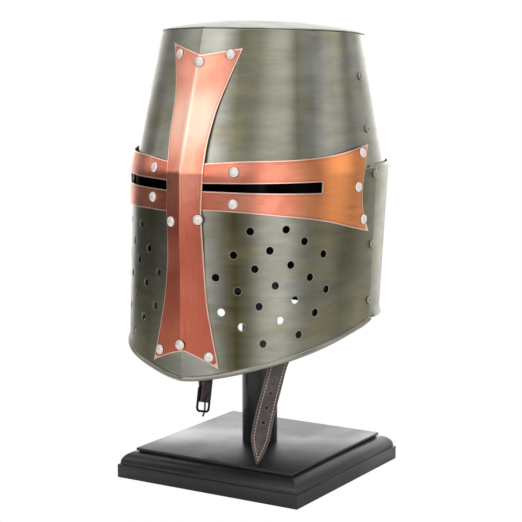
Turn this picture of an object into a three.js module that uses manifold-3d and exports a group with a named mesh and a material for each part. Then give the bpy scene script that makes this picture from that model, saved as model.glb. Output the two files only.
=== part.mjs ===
// Great helm on a display stand, in millimetres, +Z up. The origin is the middle of the
// stand's underside and the helmet's face looks along -Y. Left and right are those of someone
// who faces the helmet, so that right is +X.

import * as THREE from 'three';
import { mergeVertices } from 'three/addons/utils/BufferGeometryUtils.js';
import Module from 'manifold-3d';

const wasm = await Module();
wasm.setup();

// Stand
const BASE_WIDTH = 203.2;
const BASE_HEIGHT = 28.6;
const FASCIA_HEIGHT = 13.1;
const TOP_BOARD_WIDTH = 176.4;
const TOP_BOARD_THICKNESS = 2.6;
const MOULDING_STEP = 2;
const POST_DIAMETER = 35;

// Helmet shell
const RIM_CLEARANCE = 86.6;
const LOWER_HEIGHT = 190.8;
const UPPER_HEIGHT = 127;
const BROW_WIDTH = 231.2;
const FRONT_REACH = 133;
const BACK_REACH = 136.5;
const CREASE_DEPTH = 8;
const CREASE_HALF_WIDTH = 43.6;
const STEEL = 1.2;
const COPPER = 1;
const GAP = 0.3;
const FRONT_SHARE = 0.537;
const SEAM_LAP = 12;
const BROW_TUCK = 4.5;
const BACK_RISE = 2;
const CROWN_RISE = 9.6;
const CROWN_CURVE = 2.4;
const CROWN_FRONT_LIFT = 1.6;
const CROWN_BACK_FALL = 5.4;
const CREASE_CURVE = 1.5;

// Lower edge of the helmet
const RIM_RADIUS = 2.6;
const RIM_RISE = 42;
const RIM_KEEL = 0.08;
const RIM_CURVE = 0.9;
const BACK_EDGE_DROP = 10;
const BACK_FLARE = 2.4;
const BACK_FLARE_HEIGHT = 10;

// Copper cross
const BAR_WIDTH = 40;
const BAND_RUN = 0.9245;
const BAND_HOLLOW = 14;
const BAND_HOLLOW_POWER = 4;
const SIGHT_MARGIN = 0.5;
const BAND_STEP_CLEARANCE = 2;

// Rivets and breath holes
const COPPER_RIVET_DIAMETER = 9.6;
const COPPER_RIVET_RISE = 2.6;
const SEAM_RIVET_DIAMETER = 7.6;
const SEAM_RIVET_RISE = 3;
const SEAM_RIVET_INSET = 5.5;
const BREATH_DIAMETER = 7;
const BREATH_CUT_DEPTH = 9.6;

// Chin straps and buckle
const STRAP_WIDTH = 18;
const STRAP_THICKNESS = 2;
const STRAP_POINT = 26;
const STRAP_SEAT = 1;
const STRAP_HOLE_DIAMETER = 3.4;
const STRAP_HOLE_PITCH = 14.7;
const STRAP_HOLES = 5;
const STRAP_POINT_CURVE = 0.7;
const STRAP_END_SHARE = 0.08;
const STRAP_FIRST_HOLE = 41.6;
const STRAP_CUT_DEPTH = 8;
const BUCKLE_WIRE = 2.4;
const BUCKLE_INNER_WIDTH = 15;
const BUCKLE_INNER_HEIGHT = 22;
const BUCKLE_CORNER = 3.6;
const PRONG_DIAMETER = 1.8;
const PRONG_TIP = 5;
const FOLD_LENGTH = 24;
const SLOT_LENGTH = 10;
const SLOT_RISE = 4.5;

// Facets
const PLATE_STEP = 10.6;
const RIVET_SIDES = 8;
const HOLE_SIDES = 8;
const STRAP_HOLE_SIDES = 6;
const POST_SIDES = 24;
const RIM_SIDES = 8;
const WIRE_SIDES = 6;
const PRONG_STEPS = 12;
const FOLD_STEPS = 6;
const SHOULDER_STEPS = 5;
const CORNER_STEPS = 3;
const LONG_STRAP_STEPS = 27;
const SHORT_STRAP_STEPS = 14;

// Levels that follow from the sizes
const RIM_FRONT = BASE_HEIGHT + RIM_CLEARANCE;
const BROW = RIM_FRONT + LOWER_HEIGHT;
const CROWN_EDGE = BROW + UPPER_HEIGHT;

// How far each layer's outer face stands off the upper front plate's outer face
const LAYER = STEEL + GAP;
const UPPER_FRONT_FACE = 0;
const UPPER_BACK_FACE = -LAYER;
const LOWER_BACK_FACE = LAYER;
const LOWER_FRONT_FACE = 2 * LAYER;
const BAND_FACE = LOWER_FRONT_FACE + 2 * GAP + COPPER;
const BAR_OVER_BAND = BAND_FACE + 2 * GAP + COPPER;
const BAR_OVER_PLATE = LOWER_FRONT_FACE + 2 * GAP + COPPER;
const BAR_AT_TOP = UPPER_FRONT_FACE + GAP + COPPER;

// Plan of the walls at three levels; widths and reaches are shares of the brow's
const PLANS = {
  crown: { width: 0.8365, front: 0.7474, back: 0.7363, squareFront: 1.92, squareBack: 2.23 },
  brow: { width: 1, front: 1, back: 1, squareFront: 2.08, squareBack: 2.23 },
  rim: { width: 0.937, front: 1.019, back: 0.852, squareFront: 2.62, squareBack: 2.23 },
};

// A level is 0 at the brow, 1 at the crown's edge and -1 at the rim under the crease
function levelHeight(level) {
  return BROW + level * (level > 0 ? UPPER_HEIGHT : LOWER_HEIGHT);
}

function mix(a, b, share) {
  return a + (b - a) * share;
}

function smooth(share) {
  const s = Math.min(1, Math.max(0, share));
  return s * s * (3 - 2 * s);
}

// A point of one plan; angle 0 is the crease in front and pi is the middle of the back
function planPoint(plan, angle, offset) {
  const sine = Math.sin(angle);
  const cosine = Math.cos(angle);
  const inFront = cosine >= 0;
  const power = 2 / (inFront ? plan.squareFront : plan.squareBack);
  const width = plan.width * BROW_WIDTH / 2 + offset;
  const depth = inFront
    ? plan.front * FRONT_REACH + offset - CREASE_DEPTH
    : plan.back * BACK_REACH + offset;
  const x = Math.sign(sine) * width * Math.abs(sine) ** power;
  const nearness = inFront ? Math.max(0, 1 - Math.abs(x) / CREASE_HALF_WIDTH) : 0;
  const crease = CREASE_DEPTH * nearness ** CREASE_CURVE;
  return [x, -Math.sign(cosine) * depth * Math.abs(cosine) ** power - crease];
}

// Runs are lengths along the brow, measured both ways from the crease
const ARC_STEPS = 1440;
const arcRuns = [0];
for (let i = 1; i <= ARC_STEPS; i++) {
  const [x0, y0] = planPoint(PLANS.brow, Math.PI * (i - 1) / ARC_STEPS, 0);
  const [x1, y1] = planPoint(PLANS.brow, Math.PI * i / ARC_STEPS, 0);
  arcRuns.push(arcRuns[i - 1] + Math.hypot(x1 - x0, y1 - y0));
}
const HALF_GIRTH = arcRuns[ARC_STEPS];
const SEAM_RUN = FRONT_SHARE * HALF_GIRTH;

function angleAt(run) {
  const length = Math.min(Math.abs(run), HALF_GIRTH);
  let low = 0;
  let high = ARC_STEPS;
  while (high - low > 1) {
    const middle = (low + high) >> 1;
    if (arcRuns[middle] <= length) low = middle;
    else high = middle;
  }
  const share = (length - arcRuns[low]) / (arcRuns[high] - arcRuns[low]);
  return Math.sign(run) * Math.PI * (low + share) / ARC_STEPS;
}

// A point on the wall, offset outwards from the upper front plate's outer face
function wallPoint(run, height, offset) {
  const angle = angleAt(run);
  const [bx, by] = planPoint(PLANS.brow, angle, offset);
  const above = height >= BROW;
  const [ex, ey] = planPoint(above ? PLANS.crown : PLANS.rim, angle, offset);
  const share = above ? (height - BROW) / UPPER_HEIGHT : (BROW - height) / LOWER_HEIGHT;
  return new THREE.Vector3(mix(bx, ex, share), mix(by, ey, share), height);
}

function wallNormal(run, height, face = () => 0) {
  const step = 1;
  const at = (r, h) => wallPoint(r, h, face(h));
  const along = at(run + step, height).sub(at(run - step, height));
  const up = at(run, height + step).sub(at(run, height - step));
  return along.cross(up).normalize();
}

// A closed body from points and triangles, with its faces turned outwards
function closedBody(points, triangles) {
  let volume = 0;
  for (const [a, b, c] of triangles) {
    volume += points[a].dot(points[b].clone().cross(points[c]));
  }
  const index = triangles.flatMap(([a, b, c]) => (volume < 0 ? [a, c, b] : [a, b, c]));
  const geometry = new THREE.BufferGeometry();
  geometry.setAttribute('position', new THREE.Float32BufferAttribute(points.flatMap((p) => p.toArray()), 3));
  geometry.setIndex(index);
  return geometry;
}

// A sheet with two faces: point(i, j, side) gives the outer face at side 1, the inner at 0
function sheet(columns, rows, point) {
  const points = [];
  const triangles = [];
  const at = (i, j, side) => (side * (columns + 1) + i) * (rows + 1) + j;
  for (const side of [0, 1]) {
    for (let i = 0; i <= columns; i++) {
      for (let j = 0; j <= rows; j++) points.push(point(i, j, side));
    }
  }
  const quad = (a, b, c, d) => triangles.push([a, b, c], [a, c, d]);
  for (let i = 0; i < columns; i++) {
    for (let j = 0; j < rows; j++) {
      quad(at(i, j, 1), at(i + 1, j, 1), at(i + 1, j + 1, 1), at(i, j + 1, 1));
      quad(at(i, j, 0), at(i, j + 1, 0), at(i + 1, j + 1, 0), at(i + 1, j, 0));
    }
    quad(at(i, 0, 0), at(i + 1, 0, 0), at(i + 1, 0, 1), at(i, 0, 1));
    quad(at(i, rows, 0), at(i, rows, 1), at(i + 1, rows, 1), at(i + 1, rows, 0));
  }
  for (let j = 0; j < rows; j++) {
    quad(at(0, j, 0), at(0, j, 1), at(0, j + 1, 1), at(0, j + 1, 0));
    quad(at(columns, j, 0), at(columns, j + 1, 0), at(columns, j + 1, 1), at(columns, j, 1));
  }
  return closedBody(points, triangles);
}

// A body through rings of points, joined up when it is a loop, or else with its ends closed by
// a fan of triangles, or by the ones given
function ringBody(rings, loop = false, cap = null) {
  const count = rings[0].length;
  const points = rings.flat();
  const triangles = [];
  const last = loop ? rings.length : rings.length - 1;
  for (let i = 0; i < last; i++) {
    const next = (i + 1) % rings.length;
    for (let j = 0; j < count; j++) {
      const k = (j + 1) % count;
      triangles.push([i * count + j, i * count + k, next * count + k]);
      triangles.push([i * count + j, next * count + k, next * count + j]);
    }
  }
  if (!loop) {
    const end = (rings.length - 1) * count;
    const fan = cap ?? Array.from({ length: count - 2 }, (_, k) => [0, k + 1, k + 2]);
    for (const [a, b, c] of fan) triangles.push([a, c, b], [end + a, end + b, end + c]);
  }
  return closedBody(points, triangles);
}

function circleRing(centre, sideways, upwards, radius, sides) {
  return Array.from({ length: sides }, (_, k) => {
    const turn = 2 * Math.PI * k / sides;
    return centre.clone()
      .addScaledVector(sideways, radius * Math.cos(turn))
      .addScaledVector(upwards, radius * Math.sin(turn));
  });
}

// Booleans
function solidOf(geometry) {
  const bare = geometry.clone();
  for (const name of Object.keys(bare.attributes)) {
    if (name !== 'position') bare.deleteAttribute(name);
  }
  const merged = mergeVertices(bare, 1e-4);
  const index = Array.from(merged.index.array);
  const triVerts = [];
  for (let i = 0; i < index.length; i += 3) {
    const [a, b, c] = index.slice(i, i + 3);
    if (a !== b && b !== c && c !== a) triVerts.push(a, b, c);
  }
  return new wasm.Manifold(new wasm.Mesh({
    numProp: 3,
    vertProperties: new Float32Array(merged.attributes.position.array),
    triVerts: new Uint32Array(triVerts),
  }));
}

function geometryOf(solid) {
  const { vertProperties, triVerts } = solid.getMesh();
  const geometry = new THREE.BufferGeometry();
  geometry.setAttribute('position', new THREE.BufferAttribute(new Float32Array(vertProperties), 3));
  geometry.setIndex(new THREE.BufferAttribute(new Uint32Array(triVerts), 1));
  return geometry;
}

function cut(geometry, cutters) {
  return geometryOf(cutters.reduce((solid, cutter) => solid.subtract(solidOf(cutter)), solidOf(geometry)));
}

// Scene graph
const helm = new THREE.Group();

function finish(color, roughness, metalness) {
  return { color, roughness, metalness };
}
const BROWNED_STEEL = finish(0x7f7d6e, 0.35, 1);
const COPPER_SHEET = finish(0xc9765c, 0.35, 1);
const NICKEL = finish(0xdcdad6, 0.25, 1);
const LEATHER = finish(0x3a3232, 0.6, 0);
const BLACK_IRON = finish(0x17171a, 0.4, 0.6);
const BLACK_WOOD = finish(0x2c2c2e, 0.4, 0);

function addPiece(name, geometry, look) {
  geometry.computeVertexNormals();
  const mesh = new THREE.Mesh(geometry, new THREE.MeshStandardMaterial(look));
  mesh.name = name;
  helm.add(mesh);
  return mesh;
}

function columnsFor(length) {
  return Math.max(2, Math.ceil(length / PLATE_STEP));
}

// Height of the helmet's lower edge: a keel in front, and nearly level behind the seams
function frontEdge(run) {
  const share = Math.abs(run) / SEAM_RUN;
  const keel = (Math.hypot(share, RIM_KEEL) - RIM_KEEL) / (Math.hypot(1, RIM_KEEL) - RIM_KEEL);
  return RIM_FRONT + RIM_RADIUS + RIM_RISE * keel ** RIM_CURVE;
}

// Inside the front plate the back plate stops above the roll, and past the seam it comes down
function backEdge(run) {
  const past = Math.max(0, Math.abs(run) - SEAM_RUN);
  const overRoll = (RIM_RADIUS + 2 * GAP) * (1 - smooth((past - GAP) / RIM_RADIUS));
  return frontEdge(SEAM_RUN) + overRoll - BACK_EDGE_DROP * smooth(past / (HALF_GIRTH - SEAM_RUN));
}

// Height of the walls' top edge, which falls towards the back
function crownEdge(run) {
  const [, front] = planPoint(PLANS.crown, 0, 0);
  const [, back] = planPoint(PLANS.crown, Math.PI, 0);
  const [, here] = planPoint(PLANS.crown, angleAt(run), 0);
  return CROWN_EDGE + mix(CROWN_FRONT_LIFT, -CROWN_BACK_FALL, (here - front) / (back - front));
}

// A plate of the wall from one run to another; heights(run) lists its levels from its lower edge up
function wallPlate(from, to, heights, face, flare = () => 0) {
  const columns = 2 * columnsFor((to - from) / 2);
  return sheet(columns, heights(from).length - 1, (i, j, side) => {
    const run = mix(from, to, i / columns);
    const turned = run > HALF_GIRTH ? run - 2 * HALF_GIRTH : run;
    const height = heights(turned)[j];
    return wallPoint(turned, height, face - (1 - side) * STEEL + flare(turned, height));
  });
}

function upperPlates() {
  const heights = (run) => [BROW - BROW_TUCK, BROW, crownEdge(run)];
  addPiece('upper_front', wallPlate(-SEAM_RUN, SEAM_RUN, heights, UPPER_FRONT_FACE), BROWNED_STEEL);
  const start = SEAM_RUN - SEAM_LAP;
  addPiece('upper_back', wallPlate(start, 2 * HALF_GIRTH - start, heights, UPPER_BACK_FACE), BROWNED_STEEL);
}

// The slightly domed crown lies on the walls' top edges. Shares run from its middle to its edge
function crownPoint(run, share) {
  const edge = wallPoint(run, crownEdge(run), UPPER_FRONT_FACE);
  const middle = CROWN_EDGE + (CROWN_FRONT_LIFT - CROWN_BACK_FALL) / 2;
  const dome = CROWN_RISE * (1 - share ** CROWN_CURVE);
  return new THREE.Vector3(share * edge.x, share * edge.y, mix(middle, edge.z, share) + GAP + dome);
}

function crownPlate() {
  const sides = columnsFor(HALF_GIRTH);
  const up = new THREE.Vector3(0, 0, STEEL);
  const ring = (share) => Array.from({ length: sides }, (_, k) => (
    crownPoint(HALF_GIRTH * (2 * k / sides - 1), share)));
  const shares = [0.05, 0.5, 0.8, 1];
  const top = shares.map((share) => ring(share).map((point) => point.add(up)));
  const bottom = shares.map((share) => ring(share)).reverse();
  addPiece('crown_plate', ringBody([...top, ...bottom]), BROWNED_STEEL);
}

// Eye slits: runs are shares of the seam's run, edges are levels
const SIGHTS = [
  {
    side: 1,
    inner: { run: 0.057, bottom: -0.0833, top: -0.0493 },
    outer: { run: 0.607, bottom: -0.099, top: -0.0472 },
  },
  {
    side: -1,
    inner: { run: 0.05, bottom: -0.088, top: -0.043 },
    outer: { run: 0.55, bottom: -0.082, top: -0.033 },
  },
];

function sightCutter({ side: hand, inner, outer }, margin) {
  const columns = columnsFor((outer.run - inner.run) * SEAM_RUN);
  return sheet(columns, 1, (i, j, side) => {
    const share = i / columns;
    const run = hand * SEAM_RUN * mix(inner.run, outer.run, share);
    const pad = margin * (i === 0 ? -1 : i === columns ? 1 : 0);
    const bottom = levelHeight(mix(inner.bottom, outer.bottom, share)) - margin;
    const top = levelHeight(mix(inner.top, outer.top, share)) + margin;
    return wallPoint(run + hand * pad, mix(bottom, top, j), side ? BAR_OVER_BAND + STEEL : -STEEL);
  });
}

// Breath holes in columns that lean outwards: runs and leans are shares of the seam's run,
// tops and pitches are shares of the lower walls' height
const BREATH_COLUMNS = [
  { run: 0.1335, lean: 0.0198, top: 0.4927, pitch: 0.1651, count: 2 },
  { run: 0.215, lean: 0.0156, top: 0.3842, pitch: 0.1703, count: 3 },
  { run: 0.2887, lean: 0.0189, top: 0.271, pitch: 0.1777, count: 4 },
  { run: 0.3745, lean: 0.0264, top: 0.3622, pitch: 0.1667, count: 3 },
  { run: 0.4467, lean: 0.0255, top: 0.2647, pitch: 0.1682, count: 4 },
  { run: 0.5354, lean: 0.0354, top: 0.3244, pitch: 0.173, count: 3 },
  { run: 0.6377, lean: 0.0255, top: 0.392, pitch: 0.1724, count: 2 },
];

function breathCutters() {
  const cutters = [];
  for (const column of BREATH_COLUMNS) {
    for (let row = 0; row < column.count; row++) {
      for (const side of [-1, 1]) {
        const run = side * SEAM_RUN * (column.run + row * column.lean);
        const height = levelHeight(-column.top - row * column.pitch);
        const radius = BREATH_DIAMETER / 2;
        const cutter = new THREE.CylinderGeometry(radius, radius, BREATH_CUT_DEPTH, HOLE_SIDES);
        const turn = new THREE.Quaternion().setFromUnitVectors(
          new THREE.Vector3(0, 1, 0), wallNormal(run, height));
        const middle = wallPoint(run, height, LOWER_FRONT_FACE - STEEL / 2);
        cutter.applyMatrix4(new THREE.Matrix4().compose(middle, turn, new THREE.Vector3(1, 1, 1)));
        cutters.push(cutter);
      }
    }
  }
  return cutters;
}

function lowerPlates() {
  const columns = 2 * columnsFor(SEAM_RUN);
  const middle = LOWER_FRONT_FACE - STEEL / 2;
  const start = Math.acos(STEEL / 2 / RIM_RADIUS);
  const section = (run) => {
    const roll = Array.from({ length: RIM_SIDES + 1 }, (_, k) => {
      const turn = mix(start, start - 2 * Math.PI + 2 * (Math.PI / 2 - start), k / RIM_SIDES);
      return [middle + RIM_RADIUS * Math.cos(turn), frontEdge(run) + RIM_RADIUS * Math.sin(turn)];
    });
    return [[LOWER_FRONT_FACE, BROW], ...roll, [LOWER_FRONT_FACE - STEEL, BROW]];
  };
  const corners = section(SEAM_RUN).map(([x, y]) => new THREE.Vector2(x, y));
  const cap = THREE.ShapeUtils.triangulateShape(corners, []).map((corner) => corner.sort((a, b) => a - b));
  const plate = ringBody(Array.from({ length: columns + 1 }, (_, i) => {
    const run = mix(-SEAM_RUN, SEAM_RUN, i / columns);
    return section(run).map(([face, height]) => wallPoint(run, height, face));
  }), false, cap);
  const cutters = SIGHTS.map((sight) => sightCutter(sight, SIGHT_MARGIN));
  addPiece('lower_front', cut(plate, [...cutters, ...breathCutters()]), BROWNED_STEEL);

  const lap = SEAM_RUN - SEAM_LAP;
  const flare = (run, height) => {
    const past = smooth((Math.abs(run) - SEAM_RUN - BACK_FLARE) / SEAM_LAP);
    const low = Math.max(0, 1 - (height - backEdge(run)) / BACK_FLARE_HEIGHT);
    return BACK_FLARE * past * low * low;
  };
  const heights = (run) => {
    const edge = backEdge(run);
    return [edge, edge + BACK_FLARE_HEIGHT / 3, edge + BACK_FLARE_HEIGHT, BROW, BROW + BACK_RISE];
  };
  const back = wallPlate(lap, 2 * HALF_GIRTH - lap, heights, LOWER_BACK_FACE, flare);
  addPiece('lower_back', back, BROWNED_STEEL);
}

// Edges of the copper band: runs are shares of the seam's run, edges are levels
const BAND_EDGES = [
  { run: 0, topRight: 0.072, bottomRight: -0.181, topLeft: 0.072, bottomLeft: -0.181 },
  { run: 0.104, topRight: 0.0701, bottomRight: -0.1771, topLeft: 0.0772, bottomLeft: -0.1892 },
  { run: 0.269, topRight: 0.0858, bottomRight: -0.1855, topLeft: 0.1039, bottomLeft: -0.1876 },
  { run: 0.41, topRight: 0.089, bottomRight: -0.2018, topLeft: 0.1102, bottomLeft: -0.192 },
  { run: 0.552, topRight: 0.0976, bottomRight: -0.2217, topLeft: 0.1181, bottomLeft: -0.2085 },
  { run: 0.67, topRight: 0.115, bottomRight: -0.2463, topLeft: 0.1323, bottomLeft: -0.234 },
  { run: 0.783, topRight: 0.1417, bottomRight: -0.2778, topLeft: 0.1575, bottomLeft: -0.2655 },
  { run: BAND_RUN, topRight: 0.1748, bottomRight: -0.3145, topLeft: 0.189, bottomLeft: -0.304 },
];

// The value of a table's column between its rows, on a smooth curve through them
function between(rows, key, column, place) {
  const last = rows.length - 2;
  let i = rows.findIndex((row, k) => k <= last && place <= rows[k + 1][key]);
  if (i < 0) i = last;
  const span = rows[i + 1][key] - rows[i][key];
  const t = (place - rows[i][key]) / span;
  const slope = (a, b) => (rows[b][column] - rows[a][column]) / (rows[b][key] - rows[a][key]);
  const before = i > 0 ? slope(i - 1, i + 1) : slope(i, i + 1);
  const after = i < last ? slope(i, i + 2) : slope(i, i + 1);
  const t2 = t * t;
  const t3 = t2 * t;
  return rows[i][column] * (2 * t3 - 3 * t2 + 1) + before * span * (t3 - 2 * t2 + t)
    + rows[i + 1][column] * (3 * t2 - 2 * t3) + after * span * (t3 - t2);
}

function bandEdge(edge, run) {
  const side = run < 0 ? 'Left' : 'Right';
  return levelHeight(between(BAND_EDGES, 'run', edge + side, Math.abs(run) / SEAM_RUN));
}

function crossBand() {
  const tip = BAND_RUN * SEAM_RUN;
  const columns = 2 * columnsFor(tip);
  const lowRows = 2;
  const highRows = 1;
  const rows = lowRows + highRows;
  const band = sheet(columns, rows, (i, j, side) => {
    const share = 2 * i / columns - 1;
    const nominal = share * tip;
    const below = j <= lowRows;
    const height = below
      ? mix(bandEdge('bottom', nominal), BROW, j / lowRows)
      : mix(BROW, bandEdge('top', nominal), (j - lowRows) / highRows);
    const bottom = bandEdge('bottom', Math.sign(share) * tip);
    const across = 2 * (height - bottom) / (bandEdge('top', Math.sign(share) * tip) - bottom) - 1;
    const hollow = BAND_HOLLOW * Math.max(0, 1 - across * across) * Math.abs(share) ** BAND_HOLLOW_POWER;
    return wallPoint(nominal - Math.sign(share) * hollow, height, BAND_FACE - (1 - side) * COPPER);
  });
  addPiece('cross_band', cut(band, SIGHTS.map((sight) => sightCutter(sight, 0))), COPPER_SHEET);
}

// The upright's half widths, as shares of its neck's half width, from its top down
const BAR_ROWS = [
  { level: 0.882, left: 2.49, right: 2.475 },
  { level: 0.724, left: 1.88, right: 2.04 },
  { level: 0.567, left: 1.45, right: 1.65 },
  { level: 0.441, left: 1.3, right: 1.39 },
  { level: 0.307, left: 1.22, right: 1.21 },
  { level: 0.181, left: 1.07, right: 1.1 },
  { level: 0.0945, left: 0.94, right: 1.07 },
  { level: 0, left: 0.875, right: 1.05 },
  { level: -0.0734, left: 0.83, right: 1 },
  { level: -0.2, left: 0.81, right: 0.915 },
  { level: -0.2516, left: 0.75, right: 0.925 },
  { level: -0.372, left: 0.705, right: 0.945 },
  { level: -0.524, left: 0.795, right: 0.98 },
  { level: -0.629, left: 0.9, right: 1.035 },
  { level: -0.755, left: 1.14, right: 1.2 },
  { level: -0.928, left: 1.515, right: 1.455 },
];
const BAR_WAIST = -0.229;
const BAR_ENDS = {
  top: { left: 0.911, right: 0.872, notch: 0.8244 },
  bottom: { left: -0.924, right: -0.931, notch: -0.8527 },
};

// How far the upright's outer face stands off: it crosses the band, and below its waist rivets
// it comes down to the plate
function barFace(height) {
  const bandTop = bandEdge('top', 0) + BAND_STEP_CLEARANCE;
  if (height >= bandTop) {
    const top = levelHeight(BAR_ENDS.top.notch);
    return mix(BAR_OVER_BAND, BAR_AT_TOP, Math.min(1, (height - bandTop) / (top - bandTop)));
  }
  const waist = levelHeight(BAR_WAIST) - COPPER_RIVET_DIAMETER;
  return mix(BAR_OVER_BAND, BAR_OVER_PLATE, smooth((waist - height) / BAR_WIDTH));
}

function crossBar() {
  const shares = [-1, -0.66, -0.33, 0, 0.33, 0.66, 1];
  const last = BAR_ROWS.length - 1;
  const bar = sheet(shares.length - 1, last, (i, j, side) => {
    const share = shares[i];
    const row = BAR_ROWS[j];
    const half = share < 0 ? row.left : row.right;
    let level = row.level;
    const end = j === 0 ? BAR_ENDS.top : j === last ? BAR_ENDS.bottom : null;
    if (end) level = mix(end.notch, share < 0 ? end.left : end.right, Math.abs(share));
    const height = levelHeight(level);
    return wallPoint(share * half * BAR_WIDTH / 2, height, barFace(height) - (1 - side) * COPPER);
  });
  addPiece('cross_bar', bar, COPPER_SHEET);
}

// Round-headed rivets: outs are shares of the radius, ups are shares of the rise
const RIVET_PROFILE = [
  { out: 0, up: 0 },
  { out: 1, up: 0 },
  { out: 1, up: 0.25 },
  { out: 0.78, up: 0.76 },
  { out: 0, up: 1 },
];

function rivetHead(diameter, rise) {
  const profile = RIVET_PROFILE.map(({ out, up }) => new THREE.Vector2(out * diameter / 2, up * rise));
  return new THREE.LatheGeometry(profile, RIVET_SIDES);
}

function addRivet(name, run, height, face, diameter, rise) {
  const rivet = addPiece(name, rivetHead(diameter, rise), NICKEL);
  const normal = wallNormal(run, height, face);
  rivet.position.copy(wallPoint(run, height, face(height))).addScaledVector(normal, GAP);
  rivet.quaternion.setFromUnitVectors(new THREE.Vector3(0, 1, 0), normal);
}

// Rivets of the cross: runs are shares of the seam's run, heights are levels
const CROSS_RIVETS = [
  { name: 'bar_rivet_top_left', run: -0.1655, level: 0.83, on: 'bar' },
  { name: 'bar_rivet_top_middle', run: 0.013, level: 0.7756, on: 'bar' },
  { name: 'bar_rivet_top_right', run: 0.1716, level: 0.8278, on: 'bar' },
  { name: 'bar_rivet_waist_left', run: -0.0447, level: -0.2342, on: 'bar' },
  { name: 'bar_rivet_waist_right', run: 0.0722, level: -0.2189, on: 'bar' },
  { name: 'bar_rivet_foot_left', run: -0.1014, level: -0.8658, on: 'bar' },
  { name: 'bar_rivet_foot_middle', run: 0, level: -0.8223, on: 'bar' },
  { name: 'bar_rivet_foot_right', run: 0.0967, level: -0.8737, on: 'bar' },
  { name: 'band_rivet_right_upper', run: 0.2247, level: 0.0097, on: 'band' },
  { name: 'band_rivet_right_lower', run: 0.2182, level: -0.144, on: 'band' },
  { name: 'band_rivet_left_upper', run: -0.1815, level: 0.0203, on: 'band' },
  { name: 'band_rivet_left_lower', run: -0.1835, level: -0.1293, on: 'band' },
  { name: 'band_tip_rivet_right_upper', run: 0.8588, level: 0.1156, on: 'band' },
  { name: 'band_tip_rivet_right_middle', run: 0.8204, level: -0.0856, on: 'band' },
  { name: 'band_tip_rivet_right_lower', run: 0.8732, level: -0.2477, on: 'band' },
  { name: 'band_tip_rivet_left_upper', run: -0.8588, level: 0.128, on: 'band' },
  { name: 'band_tip_rivet_left_middle', run: -0.8204, level: -0.0765, on: 'band' },
  { name: 'band_tip_rivet_left_lower', run: -0.8732, level: -0.2405, on: 'band' },
];
const SEAM_RIVETS = [
  { name: 'seam_rivet_upper_high', level: 0.6685, face: UPPER_FRONT_FACE },
  { name: 'seam_rivet_upper_low', level: 0.2819, face: UPPER_FRONT_FACE },
  { name: 'seam_rivet_lower_high', level: -0.0341, face: LOWER_FRONT_FACE },
  { name: 'seam_rivet_lower_middle', level: -0.3836, face: LOWER_FRONT_FACE },
  { name: 'seam_rivet_lower_low', level: -0.6682, face: LOWER_FRONT_FACE },
];

function rivets() {
  for (const { name, run, level, on } of CROSS_RIVETS) {
    const height = levelHeight(level);
    const face = on === 'bar' ? barFace : () => BAND_FACE;
    addRivet(name, run * SEAM_RUN, height, face, COPPER_RIVET_DIAMETER, COPPER_RIVET_RISE);
  }
  for (const { name, level, face } of SEAM_RIVETS) {
    for (const [side, sign] of [['left', -1], ['right', 1]]) {
      const run = sign * (SEAM_RUN - SEAM_RIVET_INSET);
      addRivet(`${name}_${side}`, run, levelHeight(level), () => face, SEAM_RIVET_DIAMETER, SEAM_RIVET_RISE);
    }
  }
}

// Direction, level with the floor, that a strap's face looks in; 0 is straight ahead, -Y
function facing(degrees) {
  const angle = THREE.MathUtils.degToRad(degrees);
  return new THREE.Vector3(Math.sin(angle), -Math.cos(angle), 0);
}

// Middle line of each strap, below where it leaves the wall inside the cheek: x and y are shares
// of the brow's half width and front reach, heights are levels
const STRAP_WALL_RUNS = { right: 0.74, left: 0.603 };
const STRAP_WALL_LEVELS = [-0.055, -0.15, -0.24];
const STRAP_WALL_FACE = LOWER_FRONT_FACE - STEEL - GAP - STRAP_SEAT;
const LONG_STRAP = [
  { x: 0.934, y: -0.301, level: -0.4036, facing: 73 },
  { x: 0.9, y: -0.346, level: -0.503, facing: 71 },
  { x: 0.874, y: -0.391, level: -0.587, facing: 68 },
  { x: 0.813, y: -0.451, level: -0.679, facing: 64 },
  { x: 0.727, y: -0.526, level: -0.791, facing: 59 },
  { x: 0.632, y: -0.6165, level: -0.896, facing: 54 },
  { x: 0.554, y: -0.637, level: -1.06, facing: 46 },
  { x: 0.509, y: -0.647, level: -1.17, facing: 38 },
  { x: 0.467, y: -0.652, level: -1.29, facing: 33 },
  { x: 0.436, y: -0.648, level: -1.41, facing: 31 },
  { x: 0.42, y: -0.64, level: -1.437, facing: 30 },
];
const SHORT_STRAP = [
  { x: -0.76, y: -0.42, level: -0.42, facing: -66 },
  { x: -0.62, y: -0.38, level: -0.75, facing: -82 },
  { x: -0.467, y: -0.286, level: -1.0168, facing: -96 },
  { x: -0.4066, y: -0.2293, level: -1.132, facing: -99 },
  { x: -0.398, y: -0.263, level: -1.2264, facing: -99 },
];

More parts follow.
